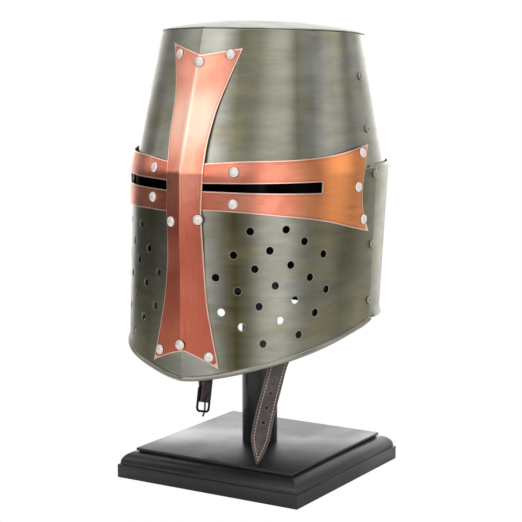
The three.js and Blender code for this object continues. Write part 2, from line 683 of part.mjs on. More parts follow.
// Stations along a strap: a centre, its face's direction and its direction across
function strapStations(wallRun, rows, count) {
  const wall = STRAP_WALL_LEVELS.map((level) => {
    const run = wallRun * SEAM_RUN;
    const centre = wallPoint(run, levelHeight(level), STRAP_WALL_FACE - STRAP_THICKNESS / 2);
    const normal = wallNormal(run, levelHeight(level));
    return { centre, turn: THREE.MathUtils.radToDeg(Math.atan2(normal.x, -normal.y)) };
  });
  const free = rows.map((row) => ({
    centre: new THREE.Vector3(row.x * BROW_WIDTH / 2, row.y * FRONT_REACH, levelHeight(row.level)),
    turn: row.facing,
  }));
  const keys = [...wall, ...free];
  const line = new THREE.CatmullRomCurve3(keys.map((key) => key.centre), false, 'centripetal');
  return Array.from({ length: count + 1 }, (_, i) => {
    const u = line.getUtoTmapping(i / count);
    const place = u * (keys.length - 1);
    const low = Math.min(keys.length - 2, Math.floor(place));
    const turn = mix(keys[low].turn, keys[low + 1].turn, place - low);
    const along = line.getTangent(u);
    const across = new THREE.Vector3().crossVectors(facing(turn), along).normalize();
    const face = new THREE.Vector3().crossVectors(along, across);
    return { centre: line.getPoint(u), face, across, length: i / count * line.getLength() };
  });
}

function ribbon(stations, halfWidth) {
  return sheet(stations.length - 1, 2, (i, j, side) => {
    const { centre, face, across } = stations[i];
    return centre.clone()
      .addScaledVector(across, halfWidth(i) * (j - 1))
      .addScaledVector(face, (side - 0.5) * STRAP_THICKNESS);
  });
}

function holeCutter(station, diameter) {
  const radius = diameter / 2;
  const cutter = new THREE.CylinderGeometry(radius, radius, STRAP_CUT_DEPTH, STRAP_HOLE_SIDES);
  const turn = new THREE.Quaternion().setFromUnitVectors(new THREE.Vector3(0, 1, 0), station.face);
  return cutter.applyMatrix4(new THREE.Matrix4().compose(station.centre, turn, new THREE.Vector3(1, 1, 1)));
}

function strapRivet(name, station) {
  const rivet = addPiece(name, rivetHead(SEAM_RIVET_DIAMETER, SEAM_RIVET_RISE), NICKEL);
  rivet.position.copy(station.centre).addScaledVector(station.face, -STRAP_THICKNESS / 2 - GAP);
  rivet.quaternion.setFromUnitVectors(new THREE.Vector3(0, 1, 0), station.face.clone().negate());
}

// The place on a strap's middle line at a distance from its upper end
function stationAt(stations, distance) {
  const next = stations.findIndex((station) => station.length >= distance);
  const [before, after] = [stations[next - 1], stations[next]];
  const share = (distance - before.length) / (after.length - before.length);
  return {
    centre: before.centre.clone().lerp(after.centre, share),
    face: before.face.clone().lerp(after.face, share).normalize(),
  };
}

function longStrap() {
  const stations = strapStations(STRAP_WALL_RUNS.right, LONG_STRAP, LONG_STRAP_STEPS);
  const length = stations[stations.length - 1].length;
  const halfWidth = (i) => {
    const left = Math.max(0, length - stations[i].length) / STRAP_POINT;
    return STRAP_WIDTH / 2 * Math.max(STRAP_END_SHARE, Math.min(1, left) ** STRAP_POINT_CURVE);
  };
  const cutters = Array.from({ length: STRAP_HOLES }, (_, k) => {
    const place = stationAt(stations, length - STRAP_FIRST_HOLE - k * STRAP_HOLE_PITCH);
    return holeCutter(place, STRAP_HOLE_DIAMETER);
  });
  addPiece('strap_long', cut(ribbon(stations, halfWidth), cutters), LEATHER);
  strapRivet('strap_rivet_right', stations[2]);
}

// The short strap turns round the buckle's bar and back up behind itself
function shortStrap() {
  const stations = strapStations(-STRAP_WALL_RUNS.left, SHORT_STRAP, SHORT_STRAP_STEPS);
  const end = stations[stations.length - 1];
  const along = new THREE.Vector3().crossVectors(end.across, end.face).normalize();
  const turnRadius = BUCKLE_WIRE / 2 + GAP + STRAP_THICKNESS / 2;
  const bar = end.centre.clone().addScaledVector(end.face, -turnRadius);
  const folded = [...stations];
  for (let k = 1; k <= FOLD_STEPS; k++) {
    const angle = Math.PI * k / FOLD_STEPS;
    const face = end.face.clone().multiplyScalar(Math.cos(angle)).addScaledVector(along, Math.sin(angle));
    folded.push({ centre: bar.clone().addScaledVector(face, turnRadius), face, across: end.across });
  }
  const back = folded[folded.length - 1];
  folded.push({ ...back, centre: back.centre.clone().addScaledVector(along, -FOLD_LENGTH) });
  const slotDepth = 2 * (turnRadius + 2 * STRAP_THICKNESS);
  const slot = new THREE.BoxGeometry(PRONG_DIAMETER + 4 * GAP, slotDepth, SLOT_LENGTH);
  const frame = new THREE.Matrix4().makeBasis(end.across, end.face, along);
  slot.applyMatrix4(frame.setPosition(bar.clone().addScaledVector(along, SLOT_LENGTH / 2 - SLOT_RISE)));
  addPiece('strap_short', cut(ribbon(folded, () => BUCKLE_INNER_WIDTH / 2 - 2 * GAP), [slot]), LEATHER);
  strapRivet('strap_rivet_left', stations[1]);
  buckle(bar, end.across, end.face, along);
}

// The prong's line round the buckle's bar and over its frame: down and out are shares of the
// clearance from the bar, reach is a share of the frame's half height, tip of the prong's overhang
const PRONG_LINE = [
  { down: -0.6, reach: 0, tip: 0, out: -0.8 },
  { down: 0, reach: 0, tip: 0, out: -1.15 },
  { down: 0.8, reach: 0, tip: 0, out: -0.7 },
  { down: 1.05, reach: 0, tip: 0, out: 0 },
  { down: 0.95, reach: 0, tip: 0, out: 0.6 },
  { down: 0, reach: 0.5, tip: 0, out: 0.95 },
  { down: 0, reach: 1, tip: 0, out: 1.05 },
  { down: 0, reach: 1, tip: 1, out: 0.4 },
];
const PRONG_POINT = 0.5;

// A wire frame with a bar across its middle, and a prong that hooks over the bar
function buckle(bar, across, face, along) {
  const radius = BUCKLE_WIRE / 2;
  const half = BUCKLE_INNER_WIDTH / 2 + radius;
  const reach = BUCKLE_INNER_HEIGHT / 2 + radius;
  const outline = new THREE.Shape();
  outline.moveTo(-half, 0);
  for (const [x, y, from] of [[-1, 1, Math.PI], [1, 1, Math.PI / 2], [1, -1, 0], [-1, -1, -Math.PI / 2]]) {
    const centre = [x * (half - BUCKLE_CORNER), y * (reach - BUCKLE_CORNER)];
    outline.absarc(...centre, BUCKLE_CORNER, from, from - Math.PI / 2, true);
  }
  const path = outline.getPoints(CORNER_STEPS).filter((p, k, all) => k === 0 || !p.equals(all[k - 1]));
  const place = (x, y) => bar.clone().addScaledVector(across, x).addScaledVector(along, y);
  const ring = ringBody(path.map((p) => {
    const side = across.clone().multiplyScalar(p.x / half).addScaledVector(along, p.y / reach).normalize();
    return circleRing(place(p.x, p.y), side, face, radius, WIRE_SIDES);
  }), true);
  const cross = ringBody([-half, half].map((x) => circleRing(place(x, 0), along, face, radius, WIRE_SIDES)));
  addPiece('buckle_frame', geometryOf(solidOf(ring).add(solidOf(cross))), BLACK_IRON);

  const prongRadius = PRONG_DIAMETER / 2;
  const clear = radius + prongRadius + GAP;
  const line = new THREE.CatmullRomCurve3(PRONG_LINE.map((key) => (
    bar.clone()
      .addScaledVector(along, key.down * clear + key.reach * (reach + key.tip * PRONG_TIP))
      .addScaledVector(face, -key.out * clear))));
  const prong = ringBody(Array.from({ length: PRONG_STEPS + 1 }, (_, i) => {
    const upwards = new THREE.Vector3().crossVectors(across, line.getTangent(i / PRONG_STEPS)).normalize();
    const slim = Math.min(1, mix(PRONG_POINT, 1, (PRONG_STEPS - i) / 2));
    return circleRing(line.getPoint(i / PRONG_STEPS), across, upwards, prongRadius * slim, WIRE_SIDES);
  }));
  addPiece('buckle_prong', prong, BLACK_IRON);
}

// Stand: a moulded square base and a round post up to the crown
function stand() {
  const edge = BASE_WIDTH / 2;
  const top = TOP_BOARD_WIDTH / 2;
  const shoulderTop = BASE_HEIGHT - TOP_BOARD_THICKNESS - MOULDING_STEP / 2;
  const shoulderOut = edge - MOULDING_STEP;
  const shoulderIn = top - MOULDING_STEP / 2;
  const profile = [[edge, 0], [edge, FASCIA_HEIGHT], [shoulderOut, FASCIA_HEIGHT]];
  for (let k = 0; k <= SHOULDER_STEPS; k++) {
    const angle = Math.PI / 2 * k / SHOULDER_STEPS;
    profile.push([
      mix(shoulderIn, shoulderOut, Math.cos(angle)),
      mix(FASCIA_HEIGHT + MOULDING_STEP / 2, shoulderTop, Math.sin(angle)),
    ]);
  }
  const grooved = top - MOULDING_STEP;
  profile.push([grooved, shoulderTop], [grooved, BASE_HEIGHT - TOP_BOARD_THICKNESS]);
  profile.push([top, BASE_HEIGHT - TOP_BOARD_THICKNESS], [top, BASE_HEIGHT]);
  const rings = profile.map(([half, height]) => [[-1, -1], [1, -1], [1, 1], [-1, 1]].map(
    ([x, y]) => new THREE.Vector3(x * half, y * half, height)));
  addPiece('stand_base', ringBody(rings), BLACK_WOOD);

  const radius = POST_DIAMETER / 2;
  const crownReach = planPoint(PLANS.crown, Math.PI, UPPER_BACK_FACE)[1];
  const underCrown = crownPoint(HALF_GIRTH, radius / crownReach).z - 2 * GAP;
  const bottom = BASE_HEIGHT + GAP;
  const post = new THREE.CylinderGeometry(radius, radius, underCrown - bottom, POST_SIDES);
  const mesh = addPiece('stand_post', post, BLACK_WOOD);
  mesh.position.set(0, 0, (underCrown + bottom) / 2);
  mesh.rotation.x = Math.PI / 2;
}

crownPlate();
upperPlates();
lowerPlates();
crossBand();
crossBar();
rivets();
longStrap();
shortStrap();
stand();

export default helm;
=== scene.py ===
"""Great helm with a copper cross on a black stand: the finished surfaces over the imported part."""

import math

import bpy
import numpy as np
from mathutils import Matrix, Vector
from mathutils.geometry import delaunay_2d_cdt


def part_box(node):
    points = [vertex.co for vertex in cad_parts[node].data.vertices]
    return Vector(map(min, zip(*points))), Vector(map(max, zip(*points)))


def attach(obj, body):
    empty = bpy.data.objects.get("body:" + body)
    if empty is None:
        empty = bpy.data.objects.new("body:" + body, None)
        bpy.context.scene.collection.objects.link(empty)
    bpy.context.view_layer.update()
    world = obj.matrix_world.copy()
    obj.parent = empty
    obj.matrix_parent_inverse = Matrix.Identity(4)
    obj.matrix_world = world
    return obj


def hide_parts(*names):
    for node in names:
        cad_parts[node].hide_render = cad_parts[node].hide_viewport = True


bl_info = {
    "name": "Great helm on a stand",
    "version": (1, 0, 0),
    "blender": (4, 5, 0),
    "location": "3D View > Sidebar > Great helm",
    "description": "Builds a creased great helm with a copper cross on a black stand",
    "category": "Object",
}

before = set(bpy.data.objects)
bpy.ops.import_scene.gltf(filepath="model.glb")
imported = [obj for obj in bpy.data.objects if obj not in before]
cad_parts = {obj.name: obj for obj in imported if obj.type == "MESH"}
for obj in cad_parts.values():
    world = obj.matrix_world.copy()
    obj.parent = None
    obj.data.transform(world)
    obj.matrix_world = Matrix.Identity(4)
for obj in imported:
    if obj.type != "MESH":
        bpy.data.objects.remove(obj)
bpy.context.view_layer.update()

MM = 0.001

# How near the crease's line a point counts as on it, and how near two points of a sheet, in mm, are one
ON_CREASE = 1e-7
SAME_POINT = 1e-6
# Smallest divisors, which only keep a division by nothing away
TINY = {"length": 1e-12, "square": 1e-18, "rise": 1e-30}
# How far from the border, as a share of the step, a sheet's grid starts
BORDER_ROOM = 0.45
# About how many points are measured against the borders at a time
CHUNK = 2000
# What a surface with no cut edge near stores as its distance from one
FAR_FROM_EDGE = 20 * MM


def linear(code):
    """Linear colour of an sRGB hex code."""
    channels = [int(code[i:i + 2], 16) / 255 for i in (0, 2, 4)]
    return [c / 12.92 if c <= 0.04045 else ((c + 0.055) / 1.055) ** 2.4 for c in channels]


def length(name, description, millimetres):
    return bpy.props.FloatProperty(
        name=name, description=description, default=millimetres * MM, min=0.0, unit="LENGTH", precision=4)


def colour(name, description, code):
    return bpy.props.FloatVectorProperty(
        name=name, description=description, default=linear(code), min=0.0, max=1.0, subtype="COLOR")


class HelmSizes(bpy.types.PropertyGroup):
    """Sizes of the helm, its straps and its stand."""

    brow_width: length("Brow width", "Width of the walls at their widest", 231.2)
    front_reach: length("Front reach", "From the post's axis to the crease at the brow", 133)
    back_reach: length("Back reach", "From the post's axis to the back at the brow", 136.5)
    rim_height: length("Rim height", "Lowest point of the helm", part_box("lower_front")[0].z / MM)
    brow_height: length(
        "Brow height", "Where the upper walls meet the lower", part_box("lower_front")[1].z / MM)
    upper_height: length("Upper height", "From the brow to the crown's edge", 127)
    crown_rise: length("Crown rise", "Dome of the top plate", 9.6)
    crown_front_lift: length("Crown front lift", "How much the crown's edge rises in front", 1.6)
    crown_back_fall: length("Crown back fall", "How much the crown's edge falls behind", 5.4)
    crease_depth: length("Crease depth", "How far the front's crease stands out", 8)
    crease_half_width: length("Crease half width", "Reach of the crease to either side", 43.6)
    steel: length("Steel", "Thickness of the steel plates", 1.2)
    copper: length("Copper", "Thickness of the copper sheet", 1)
    gap: length("Gap", "Air between two layers", 0.3)
    seam_lap: length("Seam lap", "How far the back plates reach under the front ones", 12)
    brow_tuck: length("Brow tuck", "How far the upper plates reach below the brow", 4.5)
    back_rise: length("Back rise", "How far the lower back plate stands above the brow", 2)
    rim_radius: length("Rim radius", "Radius of the rolled lower edge", 2.6)
    rim_rise: length("Rim rise", "How much higher the rim is at the seams", 42)
    back_edge_drop: length("Back edge drop", "How far the rim falls again behind the seams", 10)
    back_flare: length("Back flare", "How far the back's lower edge turns out", 2.4)
    back_flare_height: length("Back flare height", "Height of that flare", 10)
    dent: length("Dent", "Depth of the slight waves in hand-beaten sheet", 0.22)
    cut_round: length("Cut round", "Rounding of the cut edges", 0.28)
    bar_width: length("Bar width", "Neck of the copper upright", 40)
    band_hollow: length("Band hollow", "Depth of the band's hollow ends", 14)
    sight_margin: length("Sight margin", "How much wider the slits are in the steel", 0.5)
    copper_rivet: length("Copper rivet", "Head diameter of the cross's rivets", 9.6)
    copper_rivet_rise: length("Copper rivet rise", "Height of those heads", 2.9)
    seam_rivet: length("Seam rivet", "Head diameter of the seams' rivets", 7.6)
    seam_rivet_rise: length("Seam rivet rise", "Height of those heads", 3)
    seam_rivet_inset: length("Seam rivet inset", "From the seam to its rivets", 5.5)
    breath: length("Breath hole", "Diameter of the breath holes", 7)
    strap_width: length("Strap width", "Width of the long chin strap", 18)
    strap_thickness: length("Strap thickness", "Thickness of the leather", 2)
    strap_point: length("Strap point", "Length of the long strap's point", 26)
    strap_hole: length("Strap hole", "Diameter of the strap's holes", 3.4)
    strap_hole_pitch: length("Strap hole pitch", "Distance between the strap's holes", 14.7)
    strap_first_hole: length("First hole", "From the strap's point to its lowest hole", 41.6)
    slot_rise: length("Slot rise", "How far the prong's slot reaches up the strap", 4.5)
    stitch_inset: length("Stitch inset", "From the leather's edge to the seam", 2.9)
    stitch_pitch: length("Stitch pitch", "Distance between stitches", 3.1)
    stitch_length: length("Stitch length", "Length of one stitch", 2.3)
    thread: length("Thread", "Thickness of the sewing thread", 0.8)
    buckle_wire: length("Buckle wire", "Diameter of the buckle's wire", 2.4)
    buckle_inner_width: length("Buckle inner width", "Room for the strap in the buckle", 15)
    buckle_inner_height: length("Buckle inner height", "Height of the buckle's window", 22)
    prong: length("Prong", "Diameter of the buckle's prong", 1.8)
    prong_tip: length("Prong tip", "How far the prong reaches past the frame", 5)
    fold_length: length("Fold length", "Length of the strap folded behind the buckle", 24)
    base_width: length("Base width", "Width of the square base", 203.2)
    base_height: length("Base height", "Height of the base", 28.6)
    fascia_height: length("Fascia height", "Height of the base's upright edge", 13.1)
    top_board_width: length("Top board width", "Width of the base's top board", 176.4)
    top_board: length("Top board", "Thickness of the top board", 2.6)
    moulding_step: length("Moulding step", "Steps in the base's moulding", 2)
    post: length("Post", "Diameter of the post", 35)
    plate_step: length("Plate step", "Spacing of the plates' grid", 4.2)


class HelmColours(bpy.types.PropertyGroup):
    """Colours of the finishes."""

    # The rubbed colour also carries painted reflection in the front plates' upright bands and a painted
    # highlight along the cut edges
    steel_rubbed_and_highlight: colour("Steel, rubbed", "Browned steel where it is rubbed bright", "babab2")
    steel_dark: colour("Steel, browned", "Browned steel in its darker bands", "625d3e")
    steel_olive: colour("Steel, tempered", "Olive and straw tints of the heated steel", "958a5e")
    steel_inside: colour("Steel, inside", "Unpolished scale on the inner faces", "2b2823")
    # Painted highlight colour, for the copper's cut edges and the upright's upper part
    copper_painted_highlight: colour("Copper, bright", "Bright cut edges of the copper", "ffdcc8")
    copper_mid: colour("Copper", "Copper sheet", "f09c82")
    copper_orange: colour("Copper, heated", "Orange tint of the heated ends", "ffa464")
    copper_dark: colour("Copper, tarnished", "Tarnished copper in clouds and near the edges", "d06c55")
    nickel: colour("Nickel", "Rivet heads", "f4eae4")
    # Colour of the ring of painted contact shadow, with some oxide, at each rivet's foot
    ring: colour("Rivet ring", "Dark line where a rivet head meets the sheet", "3a2a26")
    leather: colour("Leather", "Strap leather", "484042")
    leather_worn: colour("Leather, worn", "Worn edges of the straps", "77696a")
    thread: colour("Thread", "Sewing thread", "e6cab4")
    iron: colour("Iron", "Blackened buckle", "0d0d0f")
    lacquer: colour("Lacquer", "Black lacquer on the stand", "29292b")
    floor: colour("Floor", "The pale floor", "f4f4f2")


def sizes():
    return bpy.context.scene.helm_sizes


def colours():
    return bpy.context.scene.helm_colours


# Shape of the walls: three plans, whose widths and reaches are shares of the brow's
CROWN = {"width": 0.8365, "front": 0.7474, "back": 0.7363, "square_front": 1.92, "square_back": 2.23}
BROW = {"width": 1.0, "front": 1.0, "back": 1.0, "square_front": 2.08, "square_back": 2.23}
RIM = {"width": 0.937, "front": 1.019, "back": 0.852, "square_front": 2.62, "square_back": 2.23}
FRONT_SHARE = 0.537
RIM_KEEL = 0.08
BAND_RUN = 0.9245
CREASE_CURVE = 1.5
RIM_CURVE = 0.9
CROWN_CURVE = 2.4
ARC_STEPS = 1440
# Slight waves of the sheet: how many go round the helm, their heights, phases and shares of the dent
LONG_WAVE = {"round": 7, "height": 31 * MM, "start": 0.7, "phase": 1.1, "share": 0.7}
SHORT_WAVE = {"round": 17, "height": 14 * MM, "lean": 47 * MM, "phase": 2.3, "share": 0.18}


def smooth(share):
    s = np.clip(share, 0.0, 1.0)
    return s * s * (3 - 2 * s)


def unit(vectors):
    lengths = np.linalg.norm(vectors, axis=-1, keepdims=True)
    return vectors / np.maximum(lengths, TINY["length"])


class Wall:
    """The walls' surface: runs go along the brow from the crease, heights are above the floor."""

    def __init__(self, s):
        self.s = s
        self.angles = np.linspace(0, math.pi, ARC_STEPS + 1)
        x, y = self.plan(BROW, self.angles, 0.0)
        self.runs = np.concatenate([[0.0], np.cumsum(np.hypot(np.diff(x), np.diff(y)))])
        self.half_girth = self.runs[-1]
        self.seam = FRONT_SHARE * self.half_girth
        self.crown_height = s.brow_height + s.upper_height
        layer = s.steel + s.gap
        self.upper_front = 0.0
        self.upper_back = -layer
        self.lower_back = layer
        self.lower_front = 2 * layer
        self.band = self.lower_front + 2 * s.gap + s.copper
        self.bar_over_band = self.band + 2 * s.gap + s.copper
        self.bar_over_plate = self.lower_front + 2 * s.gap + s.copper
        self.bar_at_top = s.gap + s.copper

    def plan(self, plan, angle, offset):
        """One level's outline. Angle 0 is the crease, pi is the middle of the back."""
        s = self.s
        sine, cosine = np.sin(angle), np.cos(angle)
        front = cosine >= 0
        power = 2 / np.where(front, plan["square_front"], plan["square_back"])
        width = plan["width"] * s.brow_width / 2 + offset
        front_depth = plan["front"] * s.front_reach + offset - s.crease_depth
        depth = np.where(front, front_depth, plan["back"] * s.back_reach + offset)
        x = np.sign(sine) * width * np.abs(sine) ** power
        bend = np.clip(1 - np.abs(x) / s.crease_half_width, 0, 1) ** CREASE_CURVE
        crease = np.where(front, s.crease_depth * bend, 0.0)
        return x, -np.sign(cosine) * depth * np.abs(cosine) ** power - crease

    def level(self, level):
        """Height of a level: 0 is the brow, 1 the crown's edge and -1 the rim under the crease."""
        s = self.s
        level = np.asarray(level, float)
        span = np.where(level > 0, s.upper_height, s.brow_height - s.rim_height)
        return s.brow_height + level * span

    def angle(self, run):
        """Plan angle at a run, which may go on past the middle of the back."""
        run = (np.asarray(run, float) + self.half_girth) % (2 * self.half_girth) - self.half_girth
        return np.sign(run) * np.interp(np.abs(run), self.runs, self.angles)

    def point(self, run, height, offset):
        """A place on the walls, with an offset outwards from the upper front plate's face."""
        s = self.s
        height = np.asarray(height, float)
        angle = self.angle(run)
        offset = offset + self.wave(run, height)
        bx, by = self.plan(BROW, angle, offset)
        cx, cy = self.plan(CROWN, angle, offset)
        rx, ry = self.plan(RIM, angle, offset)
        above = height >= s.brow_height
        up = (height - s.brow_height) / s.upper_height
        down = (s.brow_height - height) / (s.brow_height - s.rim_height)
        share = np.where(above, up, down)
        x = bx + (np.where(above, cx, rx) - bx) * share
        y = by + (np.where(above, cy, ry) - by) * share
        return np.stack(np.broadcast_arrays(x, y, height), axis=-1)

    def wave(self, run, height):
        """Slight waves of hand-beaten sheet; every layer has the same ones."""
        turn = run * math.pi / self.half_girth
        a, b = LONG_WAVE, SHORT_WAVE
        long_wave = np.sin(a["round"] * turn + a["start"]) * np.cos(height / a["height"] + a["phase"])
        leaning = np.sin(b["round"] * turn + height / b["lean"])
        short_wave = leaning * np.sin(height / b["height"] + b["phase"])
        return self.s.dent * (a["share"] * long_wave + b["share"] * short_wave)

    def front_edge(self, run):
        """Lower edge of the front plate, which rises from a rounded keel under the crease."""
        share = np.abs(run) / self.seam
        flat = math.hypot(1, RIM_KEEL) - RIM_KEEL
        keel = (np.hypot(share, RIM_KEEL) - RIM_KEEL) / flat
        return self.s.rim_height + self.s.rim_radius + self.s.rim_rise * keel**RIM_CURVE

    def past_seam(self, run):
        """How far behind the seam a run lies; it may go on past the middle of the back."""
        turned = np.where(run > self.half_girth, 2 * self.half_girth - run, run)
        return np.abs(turned) - self.seam

    def back_edge(self, run):
        """The back plate clears the front plate's roll, then comes down behind the seam."""
        s = self.s
        past = np.maximum(0, self.past_seam(run))
        over_roll = (s.rim_radius + 2 * s.gap) * (1 - smooth((past - s.gap) / s.rim_radius))
        fall = s.back_edge_drop * smooth(past / (self.half_girth - self.seam))
        return self.front_edge(self.seam) + over_roll - fall

    def back_flare(self, run, height):
        """How far the back plate's lower edge is turned out, clear of the front plate."""
        s = self.s
        past = smooth((self.past_seam(run) - s.back_flare) / s.seam_lap)
        low = np.maximum(0, 1 - (height - self.back_edge(run)) / s.back_flare_height)
        return s.back_flare * past * low * low

    def crown_edge(self, run):
        """Top edge of the walls, which falls towards the back."""
        s = self.s
        front, back = (float(self.plan(CROWN, np.array(turn), 0.0)[1]) for turn in (0.0, math.pi))
        behind = (self.plan(CROWN, self.angle(run), 0.0)[1] - front) / (back - front)
        return self.crown_height + s.crown_front_lift * (1 - behind) - s.crown_back_fall * behind

    def crown_point(self, run, share, drop):
        """Underside of the domed crown; shares run from its middle to its edge."""
        s = self.s
        height = self.crown_edge(run)
        x, y = self.plan(CROWN, self.angle(run), 0.0)
        rise = (height - self.crown_height) / s.upper_height
        brow = self.plan(BROW, self.angle(run), 0.0)
        x, y = x + (x - brow[0]) * rise, y + (y - brow[1]) * rise
        middle = self.crown_height + (s.crown_front_lift - s.crown_back_fall) / 2
        dome = s.crown_rise * (1 - share**CROWN_CURVE)
        z = middle + (height - middle) * share + s.gap + dome + drop
        return np.stack([share * x, share * y, z], axis=-1)


def wall():
    return Wall(sizes())


# Helpers for meshes


def linked(name, data):
    """A new object in the scene for a mesh, a light or the camera."""
    made = bpy.data.objects.new(name, data)
    bpy.context.scene.collection.objects.link(made)
    return made


def finished(seed, name):
    """The mesh that a seed object's modifier makes; the seed is removed."""
    graph = bpy.context.evaluated_depsgraph_get()
    result = bpy.data.meshes.new_from_object(seed.evaluated_get(graph))
    result.name = name
    seed.modifiers.clear()
    bpy.data.objects.remove(seed)
    return result


def store(mesh, key, values):
    """Keeps one value for each point, which the materials read."""
    attribute = mesh.attributes.new(key, "FLOAT", "POINT")
    attribute.data.foreach_set("value", values.astype(np.float32))


def store_map(mesh, uvs):
    """Keeps each point's place on the flat sheet, along which the brush lines run."""
    corners = np.zeros(len(mesh.loops), np.int32)
    mesh.loops.foreach_get("vertex_index", corners)
    layer = mesh.uv_layers.new(name="sheet")
    layer.data.foreach_set("uv", uvs[corners].ravel().astype(np.float32))


def smooth_faces(mesh):
    mesh.polygons.foreach_set("use_smooth", np.ones(len(mesh.polygons), bool))


def curve_value(places, values, at):
    """A smooth curve through the rows of a table."""
    places, values = np.asarray(places, float), np.asarray(values, float)
    slopes = np.empty_like(values)
    slopes[1:-1] = (values[2:] - values[:-2]) / (places[2:] - places[:-2])
    slopes[0] = (values[1] - values[0]) / (places[1] - places[0])
    slopes[-1] = (values[-1] - values[-2]) / (places[-1] - places[-2])
    i = np.clip(np.searchsorted(places, at) - 1, 0, len(places) - 2)
    span = places[i + 1] - places[i]
    t = (at - places[i]) / span
    start = values[i] * (2 * t**3 - 3 * t**2 + 1) + slopes[i] * span * (t**3 - 2 * t**2 + t)
    return start + values[i + 1] * (3 * t**2 - 2 * t**3) + slopes[i + 1] * span * (t**3 - t**2)


def resample(points, step, closed=True):
    """Splits a polyline's sides so that none is longer than the step."""
    points = [np.asarray(p, float) for p in points]
    ends = points[1:] + points[:1] if closed else points[1:]
    out = []
    for a, b in zip(points, ends):
        parts = max(1, math.ceil(float(np.linalg.norm(b - a)) / step))
        out.extend(a + (b - a) * k / parts for k in range(parts))
    if not closed:
        out.append(points[-1])
    return np.array(out)


def inside(points, polygon):
    """Which points lie in a polygon."""
    x, y = points[:, 0, None], points[:, 1, None]
    x0, y0 = polygon[:, 0], polygon[:, 1]
    x1, y1 = np.roll(x0, -1), np.roll(y0, -1)
    rise = np.where(y1 == y0, TINY["rise"], y1 - y0)
    crosses = ((y0 > y) != (y1 > y)) & (x < (x1 - x0) * (y - y0) / rise + x0)
    return crosses.sum(axis=1) % 2 == 1


def on_sheet(points, outline, holes):
    """Which points lie in the outline and in none of the holes."""
    kept = inside(points, outline)
    for hole in holes:
        kept &= ~inside(points, hole)
    return kept


def distance_to(points, polygons):
    """Least distance from each point to the polygons' sides."""
    least = np.full(len(points), np.inf)
    for polygon in polygons:
        a, b = polygon, np.roll(polygon, -1, axis=0)
        along = b - a
        square = np.maximum((along**2).sum(axis=1), TINY["square"])
        for chunk in np.array_split(np.arange(len(points)), max(1, len(points) // CHUNK)):
            to = points[chunk, None, :] - a[None]
            t = np.clip((to * along).sum(axis=2) / square, 0, 1)
            gap = np.linalg.norm(to - t[..., None] * along, axis=2).min(axis=1)
            least[chunk] = np.minimum(least[chunk], gap)
    return least


def circle(centre, radius, sides):
    turns = np.arange(sides) * 2 * math.pi / sides
    return np.stack([centre[0] + radius * np.cos(turns), centre[1] + radius * np.sin(turns)], axis=1)


def signed_area(polygon):
    x, y = polygon[:, 0], polygon[:, 1]
    return 0.5 * float((x * np.roll(y, -1) - np.roll(x, -1) * y).sum())


class Builder:
    """Collects faces with their own corner normals, then makes one mesh."""

    def __init__(self):
        self.points, self.faces, self.normals = [], [], []
        self.uvs, self.edges, self.tones, self.insides = [], [], [], []
        self.count = 0

    def add(self, points, faces, normals, uvs=None, edge=None, tone=None, inside=0.0):
        """Normals hold one vector for each corner of each face."""
        total = len(points)
        self.points.append(points)
        self.faces.extend((np.asarray(faces) + self.count).tolist())
        self.normals.append(np.asarray(normals).reshape(-1, 3))
        self.uvs.append(np.zeros((total, 2)) if uvs is None else uvs)
        self.edges.append(np.zeros(total) if edge is None else np.broadcast_to(edge, total))
        self.tones.append(np.zeros(total) if tone is None else np.broadcast_to(tone, total))
        self.insides.append(np.full(total, inside))
        self.count += total

    def make(self, name, material):
        mesh = bpy.data.meshes.new(name)
        mesh.from_pydata(np.concatenate(self.points).tolist(), [], self.faces)
        store_map(mesh, np.concatenate(self.uvs))
        for key, values in (("edge", self.edges), ("tone", self.tones), ("inside", self.insides)):
            store(mesh, key, np.concatenate(values))
        smooth_faces(mesh)
        mesh.normals_split_custom_set(unit(np.concatenate(self.normals)).tolist())
        mesh.materials.append(material)
        return linked(name, mesh)


def surface_normals(surface, uv, side=0, step=0.15 * MM):
    """Outward normals; side -1 or 1 looks only to that side of the crease."""
    u, v = uv[:, 0], uv[:, 1]
    ahead, behind = (step if side >= 0 else 0), (step if side <= 0 else 0)
    across = surface(u + ahead, v, 0.0) - surface(u - behind, v, 0.0)
    upward = surface(u, v + step, 0.0) - surface(u, v - step, 0.0)
    return unit(np.cross(across, upward))


def grid_inside(loops, outline, holes, step, crease):
    """Points of an even grid on the sheet, clear of its borders; a creased sheet has a row on the crease."""
    low, high = outline.min(axis=0), outline.max(axis=0)
    counts = np.maximum(2, np.ceil((high - low) / step)).astype(int)
    us = np.linspace(low[0], high[0], counts[0] + 1)
    if crease:
        half = counts[0] // 2 + 1
        us = np.concatenate([np.linspace(low[0], 0, half)[:-1], np.linspace(0, high[0], half)])
    vs = np.linspace(low[1], high[1], counts[1] + 1)
    grid = np.array([(u, v) for u in us for v in vs])
    grid = grid[on_sheet(grid, outline, holes)]
    return grid[distance_to(grid, loops) > BORDER_ROOM * step]


def border_edges(loops):
    """Sides of the borders, as pairs of point numbers."""
    edges, start = [], 0
    for loop in loops:
        edges += [(start + k, start + (k + 1) % len(loop)) for k in range(len(loop))]
        start += len(loop)
    return edges


def crease_edges(flat, outline):
    """Edges up the crease, so that the triangles meet along it."""
    line = [k for k in range(len(flat)) if abs(flat[k, 0]) < ON_CREASE]
    line.sort(key=lambda k: flat[k, 1])
    return [(a, b) for a, b in zip(line, line[1:]) if inside((flat[a] + flat[b])[None] / 2, outline)[0]]


